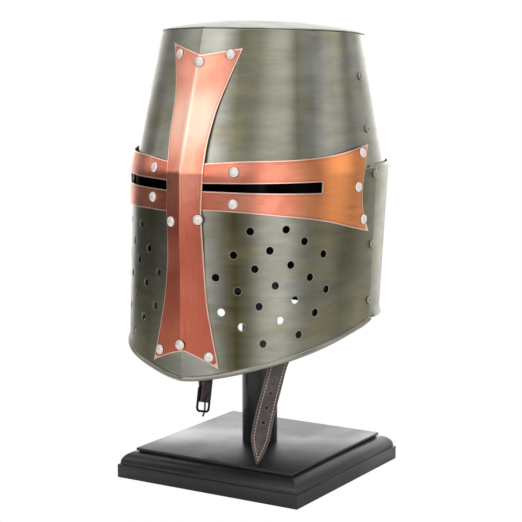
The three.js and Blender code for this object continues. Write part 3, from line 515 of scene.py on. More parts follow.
def triangulated(flat, edges, outline, holes):
    """Triangles of the sheet, all turned the same way."""
    _, _, faces, origins, _, _ = delaunay_2d_cdt((flat / MM).tolist(), edges, [], 0, SAME_POINT)
    source = np.array([origin[0] for origin in origins])
    triangles = source[np.array([face for face in faces if len(face) == 3])]
    triangles = triangles[on_sheet(flat[triangles].mean(axis=1), outline, holes)]
    corners = flat[triangles]
    first, second = corners[:, 1] - corners[:, 0], corners[:, 2] - corners[:, 0]
    wrong = first[:, 0] * second[:, 1] - first[:, 1] * second[:, 0] < 0
    triangles[wrong] = triangles[wrong][:, ::-1]
    return triangles


def along_loop(loop):
    """Direction of a closed line at each of its points."""
    return unit(np.roll(loop, -1, axis=0) - np.roll(loop, 1, axis=0))


def inward(loop):
    """Direction into the sheet at each point of a border."""
    direction = along_loop(loop)
    return np.stack([-direction[:, 1], direction[:, 0]], axis=1)


def sheet(builder, outline, holes, surface, thickness, crease=False, tone=None, step=None, swap=False):
    """A cut sheet with both faces and rounded cut edges.

    surface(u, v, offset) places a point; u goes right, v goes up and offset comes out.
    """
    s = sizes()
    rounding = s.cut_round
    loops = [outline if signed_area(outline) > 0 else outline[::-1]]
    loops += [hole[::-1] if signed_area(hole) > 0 else hole for hole in holes]
    border = np.concatenate(loops)
    grid = grid_inside(loops, outline, holes, step or s.plate_step, crease)
    flat = np.concatenate([border, grid])
    edges = border_edges(loops) + (crease_edges(flat, outline) if crease else [])
    triangles = triangulated(flat, edges, outline, holes)
    middles = flat[triangles].mean(axis=1)

    # The border is drawn in by the rounding on both faces
    drawn = flat.copy()
    drawn[:len(border)] += rounding * np.concatenate([inward(loop) for loop in loops])
    if crease:
        drawn[:len(border)][np.abs(border[:, 0]) < ON_CREASE, 0] = 0
    edge = distance_to(flat, loops)
    edge[:len(border)] = 0
    tones = tone(flat) if tone else np.zeros(len(flat))
    uvs = drawn[:, ::-1] if swap else drawn

    def face_normals(sign):
        plain = surface_normals(surface, drawn)[triangles]
        if crease:
            ridge = np.abs(drawn[triangles][:, :, 0]) < ON_CREASE
            for side in (-1, 1):
                turned = surface_normals(surface, drawn, side)[triangles]
                chosen = ridge & (np.sign(middles[:, 0]) == side)[:, None]
                plain[chosen] = turned[chosen]
        return sign * plain

    outer = surface(drawn[:, 0], drawn[:, 1], 0.0)
    inner = surface(drawn[:, 0], drawn[:, 1], -thickness)
    builder.add(outer, triangles, face_normals(1), uvs, edge, tones)
    builder.add(inner, triangles[:, ::-1], face_normals(-1)[:, ::-1], uvs, edge, tones, 1.0)

    # Four rings round each border: outer face, two on the cut, inner face
    normals = surface_normals(surface, border)
    start = 0
    for loop in loops:
        count = len(loop)
        here = slice(start, start + count)
        start += count
        high_ring = surface(border[here, 0], border[here, 1], -rounding)
        low_ring = surface(border[here, 0], border[here, 1], -thickness + rounding)
        outward = unit(np.cross(along_loop(high_ring), normals[here]))
        rings = [outer[here], high_ring, low_ring, inner[here]]
        ring_normals = [normals[here], outward, outward, -normals[here]]
        k = np.arange(count)
        after = (k + 1) % count
        quads = np.stack([k, k + count, after + count, after], axis=1)
        for level in range(3):
            points = np.concatenate(rings[level:level + 2])
            bends = np.concatenate(ring_normals[level:level + 2])
            twice = np.tile(uvs[here], (2, 1)), 0.0, np.tile(tones[here], 2)
            builder.add(points, quads, bends[quads], *twice)


def dress(made, slot, *nodes):
    """Puts a finished piece on the part."""
    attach(made, "root")
    if nodes:
        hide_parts(*nodes)
    return made


def plate(name, outline, holes, surface, thickness, material, slot, node, **settings):
    """One cut sheet as a piece of its own."""
    builder = Builder()
    sheet(builder, outline, holes, surface, thickness, **settings)
    dress(builder.make(name, material), slot, node)


# Node trees

# Fineness of a rivet head and how deep it sits; how thick the disc of painted contact shadow under it is and
# how far it shows
RIVET_SIDES = 28
RIVET_RINGS = 16
RIVET_SINK = 0.1 * MM
RIVET_SHADOW_DISC = 0.3 * MM
RIVET_SHADOW_OVERHANG = 0.3 * MM


def add_node(tree, kind, inputs=None, **settings):
    """Adds a node with its settings, and links or sets its inputs."""
    made = tree.nodes.new(kind)
    for key, value in settings.items():
        setattr(made, key, value)
    for key, value in (inputs or {}).items():
        if isinstance(value, bpy.types.NodeSocket):
            tree.links.new(value, made.inputs[key])
        else:
            made.inputs[key].default_value = value
    return made


def new_tree(name, sockets):
    """A geometry node tree with named inputs, its input node and its output node."""
    tree = bpy.data.node_groups.new(name, "GeometryNodeTree")
    tree.interface.new_socket("Geometry", in_out="INPUT", socket_type="NodeSocketGeometry")
    for socket, kind in sockets.items():
        tree.interface.new_socket(socket, in_out="INPUT", socket_type=kind)
    tree.interface.new_socket("Geometry", in_out="OUTPUT", socket_type="NodeSocketGeometry")
    return tree, tree.nodes.new("NodeGroupInput"), tree.nodes.new("NodeGroupOutput")


def grown(name, mesh, tree, values):
    """Runs a node tree on a mesh and returns the result as a plain mesh object."""
    seed = linked(name + "_seed", mesh)
    modifier = seed.modifiers.new(tree.name, "NODES")
    modifier.node_group = tree
    for item in tree.interface.items_tree:
        if item.item_type == "SOCKET" and item.in_out == "INPUT" and item.name in values:
            modifier[item.identifier] = values[item.name]
    return linked(name, finished(seed, name))


def halved(tree, size):
    return add_node(tree, "ShaderNodeMath", {0: size, 1: 0.5}, operation="MULTIPLY").outputs[0]


def realised(tree, geometry, material):
    """Ends a tree: real geometry with its material."""
    real = add_node(tree, "GeometryNodeRealizeInstances", {"Geometry": geometry})
    return add_node(tree, "GeometryNodeSetMaterial", {
        "Geometry": real.outputs[0], "Material": material}).outputs[0]


def rivet_tree():
    """Domed heads with a thin dark ring of painted contact shadow at the foot, on points that carry a
    normal.
    """
    tree, given, out = new_tree("rivet heads", {
        "Diameter": "NodeSocketFloat", "Rise": "NodeSocketFloat", "Ring": "NodeSocketFloat",
        "Head": "NodeSocketMaterial", "Shadow": "NodeSocketMaterial"})
    radius = halved(tree, given.outputs["Diameter"])
    scale = add_node(tree, "ShaderNodeCombineXYZ", {
        "X": radius, "Y": radius, "Z": given.outputs["Rise"]})
    ball = add_node(tree, "GeometryNodeMeshUVSphere", {
        "Segments": RIVET_SIDES, "Rings": RIVET_RINGS, "Radius": 1.0})
    smoothed = add_node(tree, "GeometryNodeSetShadeSmooth", {"Geometry": ball.outputs["Mesh"]})
    dome = add_node(tree, "GeometryNodeTransform", {
        "Geometry": smoothed.outputs[0], "Scale": scale.outputs[0]})
    place = add_node(tree, "GeometryNodeInputPosition")
    parts = add_node(tree, "ShaderNodeSeparateXYZ", {0: place.outputs[0]})
    floor = add_node(tree, "ShaderNodeMath", {0: parts.outputs["Z"], 1: -RIVET_SINK}, operation="MAXIMUM")
    seated = add_node(tree, "ShaderNodeCombineXYZ", {
        "X": parts.outputs["X"], "Y": parts.outputs["Y"], "Z": floor.outputs[0]})
    head = add_node(tree, "GeometryNodeSetPosition", {
        "Geometry": dome.outputs[0], "Position": seated.outputs[0]})
    wide = add_node(tree, "ShaderNodeMath", {0: radius, 1: given.outputs["Ring"]}, operation="ADD")
    disc = add_node(tree, "GeometryNodeMeshCylinder", {
        "Vertices": RIVET_SIDES, "Radius": wide.outputs[0], "Depth": RIVET_SHADOW_DISC})
    marked = add_node(tree, "GeometryNodeStoreNamedAttribute", {
        "Geometry": disc.outputs["Mesh"], "Name": "ring", "Value": True}, data_type="BOOLEAN", domain="FACE")
    joined = add_node(tree, "GeometryNodeJoinGeometry")
    tree.links.new(head.outputs[0], joined.inputs[0])
    tree.links.new(marked.outputs[0], joined.inputs[0])
    normal = add_node(tree, "GeometryNodeInputNamedAttribute", {"Name": "normal"}, data_type="FLOAT_VECTOR")
    turn = add_node(tree, "FunctionNodeAlignRotationToVector", {"Vector": normal.outputs[0]}, axis="Z")
    placed = add_node(tree, "GeometryNodeInstanceOnPoints", {
        "Points": given.outputs["Geometry"], "Instance": joined.outputs[0], "Rotation": turn.outputs[0]})
    heads = realised(tree, placed.outputs[0], given.outputs["Head"])
    is_ring = add_node(tree, "GeometryNodeInputNamedAttribute", {"Name": "ring"}, data_type="BOOLEAN")
    rings = add_node(tree, "GeometryNodeSetMaterial", {
        "Geometry": heads, "Selection": is_ring.outputs[0], "Material": given.outputs["Shadow"]})
    tree.links.new(rings.outputs[0], out.inputs[0])
    return tree


def wire_tree():
    """A round wire or roll along the mesh's edges."""
    tree, given, out = new_tree("round wire", {
        "Radius": "NodeSocketFloat", "Sides": "NodeSocketInt", "Material": "NodeSocketMaterial"})
    path = add_node(tree, "GeometryNodeMeshToCurve", {"Mesh": given.outputs["Geometry"]})
    section = add_node(tree, "GeometryNodeCurvePrimitiveCircle", {
        "Resolution": given.outputs["Sides"], "Radius": given.outputs["Radius"]})
    swept = add_node(tree, "GeometryNodeCurveToMesh", {
        "Curve": path.outputs[0], "Profile Curve": section.outputs["Curve"], "Fill Caps": True})
    smoothed = add_node(tree, "GeometryNodeSetShadeSmooth", {"Geometry": swept.outputs[0]})
    tree.links.new(realised(tree, smoothed.outputs[0], given.outputs["Material"]), out.inputs[0])
    return tree


def stitch_tree():
    """A row of stitches along the mesh's edges."""
    tree, given, out = new_tree("stitches", {
        "Pitch": "NodeSocketFloat", "Length": "NodeSocketFloat", "Thread": "NodeSocketFloat",
        "Material": "NodeSocketMaterial"})
    path = add_node(tree, "GeometryNodeMeshToCurve", {"Mesh": given.outputs["Geometry"]})
    places = add_node(tree, "GeometryNodeCurveToPoints", {
        "Curve": path.outputs[0], "Length": given.outputs["Pitch"]}, mode="LENGTH")
    half_thread = halved(tree, given.outputs["Thread"])
    scale = add_node(tree, "ShaderNodeCombineXYZ", {
        "X": half_thread, "Y": half_thread, "Z": halved(tree, given.outputs["Length"])})
    bead = add_node(tree, "GeometryNodeMeshUVSphere", {"Segments": 8, "Rings": 6, "Radius": 1.0})
    smoothed = add_node(tree, "GeometryNodeSetShadeSmooth", {"Geometry": bead.outputs["Mesh"]})
    placed = add_node(tree, "GeometryNodeInstanceOnPoints", {
        "Points": places.outputs["Points"], "Instance": smoothed.outputs[0],
        "Rotation": places.outputs["Rotation"], "Scale": scale.outputs[0]})
    tree.links.new(realised(tree, placed.outputs[0], given.outputs["Material"]), out.inputs[0])
    return tree


def path_mesh(name, lines):
    """Polylines as a mesh of edges; each line is (points, closed)."""
    points, edges = [], []
    for line, closed in lines:
        start = len(points)
        points.extend(np.asarray(line).tolist())
        edges += [(start + k, start + k + 1) for k in range(len(line) - 1)]
        if closed:
            edges.append((start + len(line) - 1, start))
    mesh = bpy.data.meshes.new(name)
    mesh.from_pydata(points, edges, [])
    return mesh


def point_mesh(name, points, normals):
    """Loose points that carry a normal."""
    mesh = bpy.data.meshes.new(name)
    mesh.from_pydata(np.asarray(points).tolist(), [], [])
    attribute = mesh.attributes.new("normal", "FLOAT_VECTOR", "POINT")
    attribute.data.foreach_set("vector", np.asarray(normals, np.float32).ravel())
    return mesh


# Materials


def cycles(millimetres):
    """Pattern cycles per metre for a real spacing in millimetres."""
    return 1 / (millimetres * MM)


def new_material(name, **principled):
    """A material, its tree and its shader; the tree is None where the material is there already."""
    material = bpy.data.materials.get(name)
    if material:
        return material, None, None
    material = bpy.data.materials.new(name)
    material.use_nodes = True
    tree = material.node_tree
    shader = tree.nodes["Principled BSDF"]
    for key, value in principled.items():
        socket = shader.inputs[key.replace("_", " ")]
        socket.default_value = (*value, 1.0) if socket.type == "RGBA" else value
    return material, tree, shader


def grain(tree, coordinates, spacing, detail=2.0, roughness=0.5):
    """Noise with a real spacing in millimetres along each axis."""
    scaled = add_node(tree, "ShaderNodeMapping", {
        "Vector": coordinates, "Scale": [cycles(mm) for mm in spacing]})
    return add_node(tree, "ShaderNodeTexNoise", {
        "Vector": scaled.outputs[0], "Scale": 1.0, "Detail": detail, "Roughness": roughness}).outputs["Fac"]


def ramp(tree, value, low, high, to_low=0.0, to_high=1.0):
    """Maps a value between two limits, with soft ends."""
    return add_node(tree, "ShaderNodeMapRange", {
        "Value": value, "From Min": low, "From Max": high, "To Min": to_low, "To Max": to_high},
        interpolation_type="SMOOTHSTEP").outputs[0]


def blend(tree, share, first, second, mode="MIX"):
    """Mixes two colours by a share; a colour is a socket or linear values."""
    made = add_node(tree, "ShaderNodeMix", {0: share}, data_type="RGBA", blend_type=mode)
    for index, value in ((6, first), (7, second)):
        if isinstance(value, bpy.types.NodeSocket):
            tree.links.new(value, made.inputs[index])
        else:
            made.inputs[index].default_value = (*value, 1.0)
    return made.outputs[2]


def shaded(tree, tint, value):
    """A colour made lighter or darker by a value near 1."""
    return blend(tree, 1.0, tint, add_node(tree, "ShaderNodeCombineXYZ", {
        "X": value, "Y": value, "Z": value}).outputs[0], "MULTIPLY")


def bump(tree, shader, height, strength, distance):
    """Fine relief on the shader's surface."""
    made = add_node(tree, "ShaderNodeBump", {"Height": height, "Strength": strength, "Distance": distance})
    tree.links.new(made.outputs[0], shader.inputs["Normal"])


def stored(tree, key):
    """A value that the mesh keeps for each point."""
    return add_node(tree, "ShaderNodeAttribute", attribute_name=key).outputs["Fac"]


def sheet_place(tree):
    """Place on the flat sheet, in metres: first along the brush lines, then across them."""
    return add_node(tree, "ShaderNodeUVMap", uv_map="sheet").outputs[0]


def object_place(tree):
    return add_node(tree, "ShaderNodeTexCoord").outputs["Object"]


def browned_steel():
    """Mild steel sheet, heated and rubbed: soft upright bands that are partly rubbed finish and partly
    painted reflection, olive tints, fine level lines and a painted highlight along the cut edges.
    """
    material, tree, shader = new_material("browned steel", Metallic=1.0, Roughness=0.36)
    if not tree:
        return material
    c = colours()
    uv, edge = sheet_place(tree), stored(tree, "edge")
    smears = ramp(tree, grain(tree, uv, (52, 15, 20), 3.0, 0.6), 0.3, 0.7, 0.86, 1.12)
    clouds = ramp(tree, grain(tree, object_place(tree), (52, 52, 26), 3.0), 0.48, 0.7, 0.0, 0.45)
    lines = grain(tree, uv, (30, 0.9, 10), 2.0, 0.6)
    # Tone blends towards the rubbed colour; on the front plates its upright bands are partly painted
    # reflection
    tint = blend(tree, stored(tree, "tone"), c.steel_dark, c.steel_rubbed_and_highlight)
    tint = blend(tree, clouds, tint, c.steel_olive)
    tint = shaded(tree, tint, smears)
    tint = shaded(tree, tint, ramp(tree, lines, 0.3, 0.7, 0.95, 1.04))
    # Painted highlight along the cut edges and round the holes
    tint = blend(tree, ramp(tree, edge, 0.0, 0.9 * MM, 0.6, 0.0), tint, c.steel_rubbed_and_highlight)
    tint = blend(tree, stored(tree, "inside"), tint, c.steel_inside)
    tree.links.new(tint, shader.inputs["Base Color"])
    tree.links.new(ramp(tree, lines, 0.3, 0.7, 0.31, 0.38), shader.inputs["Roughness"])
    bump(tree, shader, lines, 0.05, 0.1 * MM)
    return material


def copper_sheet(name, heated):
    """Copper sheet brushed along its length; where it was heated it takes a second colour, which on the
    upright is a painted highlight, and its cut edges take a painted highlight.
    """
    material, tree, shader = new_material(name, Metallic=1.0, Roughness=0.34)
    if not tree:
        return material
    c = colours()
    edge, tone = stored(tree, "edge"), stored(tree, "tone")
    clouds = ramp(tree, grain(tree, object_place(tree), (26, 26, 26), 3.0), 0.35, 0.7)
    lines = grain(tree, sheet_place(tree), (30, 0.8, 10), 2.0, 0.6)
    tint = blend(tree, ramp(tree, clouds, 0, 1, 0.0, 0.5), c.copper_mid, c.copper_dark)
    tint = blend(tree, ramp(tree, tone, 0.0, -1.0), tint, c.copper_dark)
    # On the upright this second colour is a painted highlight
    tint = blend(tree, ramp(tree, tone, 0.0, 1.0), tint, heated)
    tint = shaded(tree, tint, ramp(tree, lines, 0.3, 0.7, 0.92, 1.06))
    tint = blend(tree, ramp(tree, edge, 0.9 * MM, 4 * MM, 0.45, 0.0), tint, c.copper_dark)
    # Painted highlight along the cut edges
    tint = blend(tree, ramp(tree, edge, 0.5 * MM, 1.2 * MM, 1.0, 0.0), tint, c.copper_painted_highlight)
    tint = blend(tree, stored(tree, "inside"), tint, c.steel_inside)
    tree.links.new(tint, shader.inputs["Base Color"])
    tree.links.new(ramp(tree, lines, 0.3, 0.7, 0.30, 0.40), shader.inputs["Roughness"])
    bump(tree, shader, lines, 0.06, 0.1 * MM)
    return material


def nickel():
    """Nickel-plated rivet heads, hammered over: bright with soft dimples."""
    material, tree, shader = new_material(
        "nickel plating", Base_Color=tuple(colours().nickel), Metallic=0.4, Roughness=0.34)
    if not tree:
        return material
    bump(tree, shader, grain(tree, object_place(tree), (2.2, 2.2, 2.2), 1.0), 0.35, 0.4 * MM)
    return material


def rivet_shadow():
    """Painted contact shadow, with some oxide, in the corner between a rivet head and the sheet."""
    return new_material("rivet shadow and oxide", Base_Color=tuple(colours().ring), Metallic=0.4, Roughness=0.6)[0]


def strap_leather():
    """Vegetable-tanned strap leather, dyed dark, with a fine grain and paler worn edges."""
    material, tree, shader = new_material("strap leather", Roughness=0.55)
    if not tree:
        return material
    c = colours()
    place = object_place(tree)
    scaled = add_node(tree, "ShaderNodeMapping", {"Vector": place, "Scale": [cycles(0.9)] * 3})
    pores = add_node(tree, "ShaderNodeTexVoronoi", {"Vector": scaled.outputs[0], "Scale": 1.0}).outputs[0]
    clouds = grain(tree, place, (14, 14, 14), 3.0)
    tint = blend(tree, ramp(tree, clouds, 0.4, 0.75, 0.0, 0.5), c.leather, c.leather_worn)
    tint = blend(tree, ramp(tree, stored(tree, "edge"), 0.0, 1.0 * MM, 0.7, 0.0), tint, c.leather_worn)
    tree.links.new(tint, shader.inputs["Base Color"])
    bump(tree, shader, pores, 0.35, 0.15 * MM)
    return material


def sewing_thread():
    """Waxed linen thread, a pinkish cream."""
    return new_material("waxed thread", Base_Color=tuple(colours().thread), Roughness=0.7)[0]


def black_iron():
    """Blackened iron wire, satin."""
    return new_material("blackened iron", Base_Color=tuple(colours().iron), Metallic=0.3, Roughness=0.38)[0]


def black_lacquer():
    """Wood under satin black lacquer, with a faint orange-peel in its gloss."""
    material, tree, shader = new_material(
        "black lacquer on wood", Base_Color=tuple(colours().lacquer), Roughness=0.33)
    if not tree:
        return material
    place = object_place(tree)
    peel = grain(tree, place, (3, 3, 3), 2.0)
    wear = grain(tree, place, (60, 60, 60), 3.0)
    tree.links.new(ramp(tree, wear, 0.35, 0.7, 0.28, 0.42), shader.inputs["Roughness"])
    bump(tree, shader, peel, 0.12, 0.1 * MM)
    return material


def pale_floor():
    """Matt white paper, shown burnt out to pure white as a product photograph has it."""
    material, tree, shader = new_material("white paper", Base_Color=tuple(colours().floor), Roughness=0.9)
    if tree:
        seen = add_node(tree, "ShaderNodeLightPath").outputs["Is Camera Ray"]
        white = add_node(tree, "ShaderNodeEmission", {"Color": (1.0, 1.0, 1.0, 1.0), "Strength": 1.0})
        mixed = add_node(tree, "ShaderNodeMixShader", {0: seen, 1: shader.outputs[0], 2: white.outputs[0]})
        tree.links.new(mixed.outputs[0], tree.nodes["Material Output"].inputs["Surface"])
    return material


# Tables of the cuts, as shares of the seam's run and as levels
# Slits: side, inner and outer end, then bottom and top at the inner end and at the outer end
SIGHTS = (
    {"side": 1, "ends": (0.057, 0.607), "bottom": (-0.0833, -0.099), "top": (-0.0493, -0.0472)},
    {"side": -1, "ends": (0.05, 0.55), "bottom": (-0.088, -0.082), "top": (-0.043, -0.033)},
)
# Breath holes in columns that lean outwards: run, lean, top and pitch, and how many holes
BREATH_COLUMNS = (
    (0.1335, 0.0198, 0.4927, 0.1651, 2),
    (0.215, 0.0156, 0.3842, 0.1703, 3),
    (0.2887, 0.0189, 0.271, 0.1777, 4),
    (0.3745, 0.0264, 0.3622, 0.1667, 3),
    (0.4467, 0.0255, 0.2647, 0.1682, 4),
    (0.5354, 0.0354, 0.3244, 0.173, 3),
    (0.6377, 0.0255, 0.392, 0.1724, 2),
)
# Edges of the band: run, then top and bottom on the right and on the left
BAND_EDGES = np.array((
    (0, 0.072, -0.181, 0.072, -0.181),
    (0.104, 0.0701, -0.1771, 0.0772, -0.1892),
    (0.269, 0.0858, -0.1855, 0.1039, -0.1876),
    (0.41, 0.089, -0.2018, 0.1102, -0.192),
    (0.552, 0.0976, -0.2217, 0.1181, -0.2085),
    (0.67, 0.115, -0.2463, 0.1323, -0.234),
    (0.783, 0.1417, -0.2778, 0.1575, -0.2655),
    (BAND_RUN, 0.1748, -0.3145, 0.189, -0.304),
))
# Half widths of the upright, as shares of its neck's: level, left, right
BAR_ROWS = np.array((
    (-0.928, 1.515, 1.455),
    (-0.755, 1.14, 1.2),
    (-0.629, 0.9, 1.035),
    (-0.524, 0.795, 0.98),
    (-0.372, 0.705, 0.945),
    (-0.2516, 0.75, 0.925),
    (-0.2, 0.81, 0.915),
    (-0.0734, 0.83, 1),
    (0, 0.875, 1.05),
    (0.0945, 0.94, 1.07),
    (0.181, 1.07, 1.1),
    (0.307, 1.22, 1.21),
    (0.441, 1.3, 1.39),
    (0.567, 1.45, 1.65),
    (0.724, 1.88, 2.04),
    (0.882, 2.49, 2.475),
))
# Its ends: levels of the corners and the notch, and how far right of the crease the notch is
BAR_TOP = {"left": 0.911, "right": 0.872, "notch": 0.8244, "aside": 3.7 * MM}
BAR_BOTTOM = {"left": -0.924, "right": -0.931, "notch": -0.8527, "aside": 1.5 * MM}
BAR_WAIST = -0.229
# How bright the steel is painted in upright bands, partly rubbed finish and partly painted reflection: run,
# share
UPPER_RUBBING_AND_REFLECTION = (
    (-0.7, 0.8), (-0.4, 0.6), (-0.2, 0.5), (0, 0.5), (0.12, 0.85), (0.17, 0.6), (0.22, 0.2), (0.3, 0.35),
    (0.45, 0.55), (0.5, 0.25), (0.6, 1), (0.7, 0.5), (1, 0.65),
)
LOWER_RUBBING_AND_REFLECTION = (
    (-0.7, 1), (-0.45, 0.6), (-0.2, 0.15), (0, 0.6), (0.1, 1), (0.18, 0.2), (0.22, 0), (0.3, 0.4),
    (0.45, 0.75), (0.56, 0.45), (0.75, 0.15), (1, 0.2),
)
# Rivets of the cross: name, run, level
BAR_RIVETS = (
    ("bar_rivet_top_left", -0.1655, 0.83),
    ("bar_rivet_top_middle", 0.013, 0.7756),
    ("bar_rivet_top_right", 0.1716, 0.8278),
    ("bar_rivet_waist_left", -0.0447, -0.2342),
    ("bar_rivet_waist_right", 0.0722, -0.2189),
    ("bar_rivet_foot_left", -0.1014, -0.8658),
    ("bar_rivet_foot_middle", 0, -0.8223),
    ("bar_rivet_foot_right", 0.0967, -0.8737),
)
BAND_RIVETS = (
    ("band_rivet_right_upper", 0.2247, 0.0097),
    ("band_rivet_right_lower", 0.2182, -0.144),
    ("band_rivet_left_upper", -0.1815, 0.0203),
    ("band_rivet_left_lower", -0.1835, -0.1293),
    ("band_tip_rivet_right_upper", 0.8588, 0.1156),
    ("band_tip_rivet_right_middle", 0.8204, -0.0856),
    ("band_tip_rivet_right_lower", 0.8732, -0.2477),
    ("band_tip_rivet_left_upper", -0.8588, 0.128),
    ("band_tip_rivet_left_middle", -0.8204, -0.0765),
    ("band_tip_rivet_left_lower", -0.8732, -0.2405),
)
# Rivets of the side seams: name, level, on the upper plates or not
SEAM_RIVETS = (
    ("seam_rivet_upper_high", 0.6685, True),
    ("seam_rivet_upper_low", 0.2819, True),
    ("seam_rivet_lower_high", -0.0341, False),
    ("seam_rivet_lower_middle", -0.3836, False),
    ("seam_rivet_lower_low", -0.6682, False),
)
# Straps below the cheek: x and y as shares of the brow's half width and front reach, level, facing
LONG_STRAP = (
    (0.934, -0.301, -0.4036, 73),
    (0.9, -0.346, -0.503, 71),
    (0.874, -0.391, -0.587, 68),
    (0.813, -0.451, -0.679, 64),
    (0.727, -0.526, -0.791, 59),
    (0.632, -0.6165, -0.896, 54),
    (0.554, -0.637, -1.06, 46),
    (0.509, -0.647, -1.17, 38),
    (0.467, -0.652, -1.29, 33),
    (0.436, -0.648, -1.41, 31),
    (0.42, -0.64, -1.437, 30),
)
SHORT_STRAP = (
    (-0.76, -0.42, -0.42, -66),
    (-0.62, -0.38, -0.75, -82),
    (-0.467, -0.286, -1.0168, -96),
    (-0.4066, -0.2293, -1.132, -99),
    (-0.398, -0.263, -1.2264, -99),
)
# Where the straps run down inside the cheeks: runs, levels below the brow, and the air to the wall
LONG_STRAP_WALL_RUN = 0.74
SHORT_STRAP_WALL_RUN = -0.603
STRAP_WALL_DROPS = (0.055, 0.15, 0.24)
STRAP_SEAT = 1 * MM
STRAP_RIVET_DROP = 16 * MM
# Holes in the long strap, how narrow its point ends and how full the point's curve is
STRAP_HOLES = 5
STRAP_TIP_SHARE = 0.08
STRAP_TIP_POWER = 0.7
# Stitches start below the strap's top and stop short of the point and of the buckle
STITCH_START = 12 * MM
STITCH_STOP = {"long": 5 * MM, "short": 9 * MM}
# Longest sides of the cut outlines, and of the grids of the two straps
CUT_STEP = 3 * MM
LONG_STRAP_STEP = 2.6 * MM
SHORT_STRAP_STEP = 1.8 * MM
# How far above the band the upright begins to lean in to the wall
BAND_COVER = 2 * MM
# Rounding of the crown's edge, and the rings of its faces as shares of the way out from the middle
CROWN_SIDES = 144
CROWN_ROUNDING = 0.5 * MM
CROWN_SHARES = (*np.linspace(0.02, 0.94, 22), 0.96, 0.975, 0.985)
CROWN_TONE = 0.8
# How bright the back plates are rubbed
BACK_RUBBING = {"upper": 0.6, "lower": 0.4}
# Points along the drawn lines
RIM_POINTS = 241
BAND_POINTS = 121
BAND_END_POINTS = 31
BAR_POINTS = 101
STRAP_POINTS = 140
STRAP_OUTLINE_POINTS = 160
STITCH_LINE_POINTS = 120
PRONG_POINTS = 60
# Points along the rounded edges and turns
CROWN_EDGE_POINTS = 7
BUCKLE_CORNER_POINTS = 9
SHOULDER_POINTS = 13
FOLD_TURN_POINTS = 25
FOLD_TAIL_POINTS = 14
# Fineness of the rim's roll, the buckle's wire and its prong
RIM_SIDES = 16
WIRE_SIDES = 14
PRONG_SIDES = 12
# Stand: sides of the post, and which edges are rounded and drawn sharp, in degrees, and how much
POST_SIDES = 96
ROUNDED_FROM = 30
SHARP_FROM = 32
BASE_ROUNDING = 0.5 * MM
POST_ROUNDING = 0.4 * MM


def sight_outline(w, sight, margin):
    """A sight slit, made wider all round by a margin."""
    inner, outer = (end * w.seam * sight["side"] for end in sight["ends"])
    pad = margin * sight["side"]
    bottoms = w.level(sight["bottom"]) - margin
    tops = w.level(sight["top"]) + margin
    corners = [
        (inner - pad, bottoms[0]), (outer + pad, bottoms[1]), (outer + pad, tops[1]), (inner - pad, tops[0])]
    return resample(corners, CUT_STEP)


def breath_outlines(w, sides=28):
    holes = []
    for run, lean, top, pitch, count in BREATH_COLUMNS:
        for row in range(count):
            for side in (-1, 1):
                place = (side * w.seam * (run + row * lean), float(w.level(-top - row * pitch)))
                holes.append(circle(place, w.s.breath / 2, sides))
    return holes


def band_edge(w, column, run):
    """Height of the band's top (column 0) or bottom (column 1) at a run."""
    share = np.abs(run) / w.seam
    right = curve_value(BAND_EDGES[:, 0], BAND_EDGES[:, 1 + column], share)
    left = curve_value(BAND_EDGES[:, 0], BAND_EDGES[:, 3 + column], share)
    return w.level(np.where(run < 0, left, right))


def band_outline(w):
    tip = BAND_RUN * w.seam
    runs = np.linspace(-tip, tip, BAND_POINTS)
    bottom = np.stack([runs, band_edge(w, 1, runs)], axis=1)
    top = np.stack([runs, band_edge(w, 0, runs)], axis=1)[::-1]

    def end(side):
        low, high = (float(band_edge(w, column, side * tip)) for column in (1, 0))
        across = np.linspace(-1, 1, BAND_END_POINTS)[1:-1] * side
        run = side * (tip - w.s.band_hollow * (1 - across**2))
        height = low + (high - low) * (across + 1) / 2
        return np.stack([run, height], axis=1)

    return np.concatenate([bottom, end(1), top, end(-1)])


def bar_outline(w):
    """The upright: its right side up, the notch at the top, its left side down and the lower notch."""
    def side(column, start, end, half):
        levels = np.linspace(start, end, BAR_POINTS)
        return np.stack([half * curve_value(BAR_ROWS[:, 0], BAR_ROWS[:, column], levels), w.level(levels)],
                        axis=1)

    right = side(2, BAR_BOTTOM["right"], BAR_TOP["right"], w.s.bar_width / 2)
    left = side(1, BAR_TOP["left"], BAR_BOTTOM["left"], -w.s.bar_width / 2)
    low, high = ((end["aside"], float(w.level(end["notch"]))) for end in (BAR_BOTTOM, BAR_TOP))

    def on_crease(corner, notch):
        share = corner[0] / (corner[0] - notch[0])
        return 0.0, corner[1] + (notch[1] - corner[1]) * share

    corners = [low, *right, high, on_crease(left[0], high), *left, on_crease(left[-1], low)]
    return resample(corners, CUT_STEP)


def bar_face(w, height):
    """How far the upright's outer face stands off the walls."""
    band_top = float(band_edge(w, 0, np.array(0.0))) + BAND_COVER
    top = float(w.level(BAR_TOP["notch"]))
    rising = np.clip((height - band_top) / (top - band_top), 0, 1)
    upper = w.bar_over_band + (w.bar_at_top - w.bar_over_band) * rising
    waist = float(w.level(BAR_WAIST)) - w.s.copper_rivet
    falling = smooth((waist - height) / w.s.bar_width)
    lower = w.bar_over_band + (w.bar_over_plate - w.bar_over_band) * falling
    return np.where(height >= band_top, upper, lower)


def rectangle(w, low_run, high_run, bottom, top, step):
    """Outline between two runs; bottom and top give the heights along it."""
    count = max(2, 2 * math.ceil((high_run - low_run) / step / 2))
    runs = np.linspace(low_run, high_run, count + 1)
    lower = np.stack([runs, bottom(runs)], axis=1)
    upper = np.stack([runs, top(runs)], axis=1)[::-1]
    return resample(np.concatenate([lower, upper]), step)


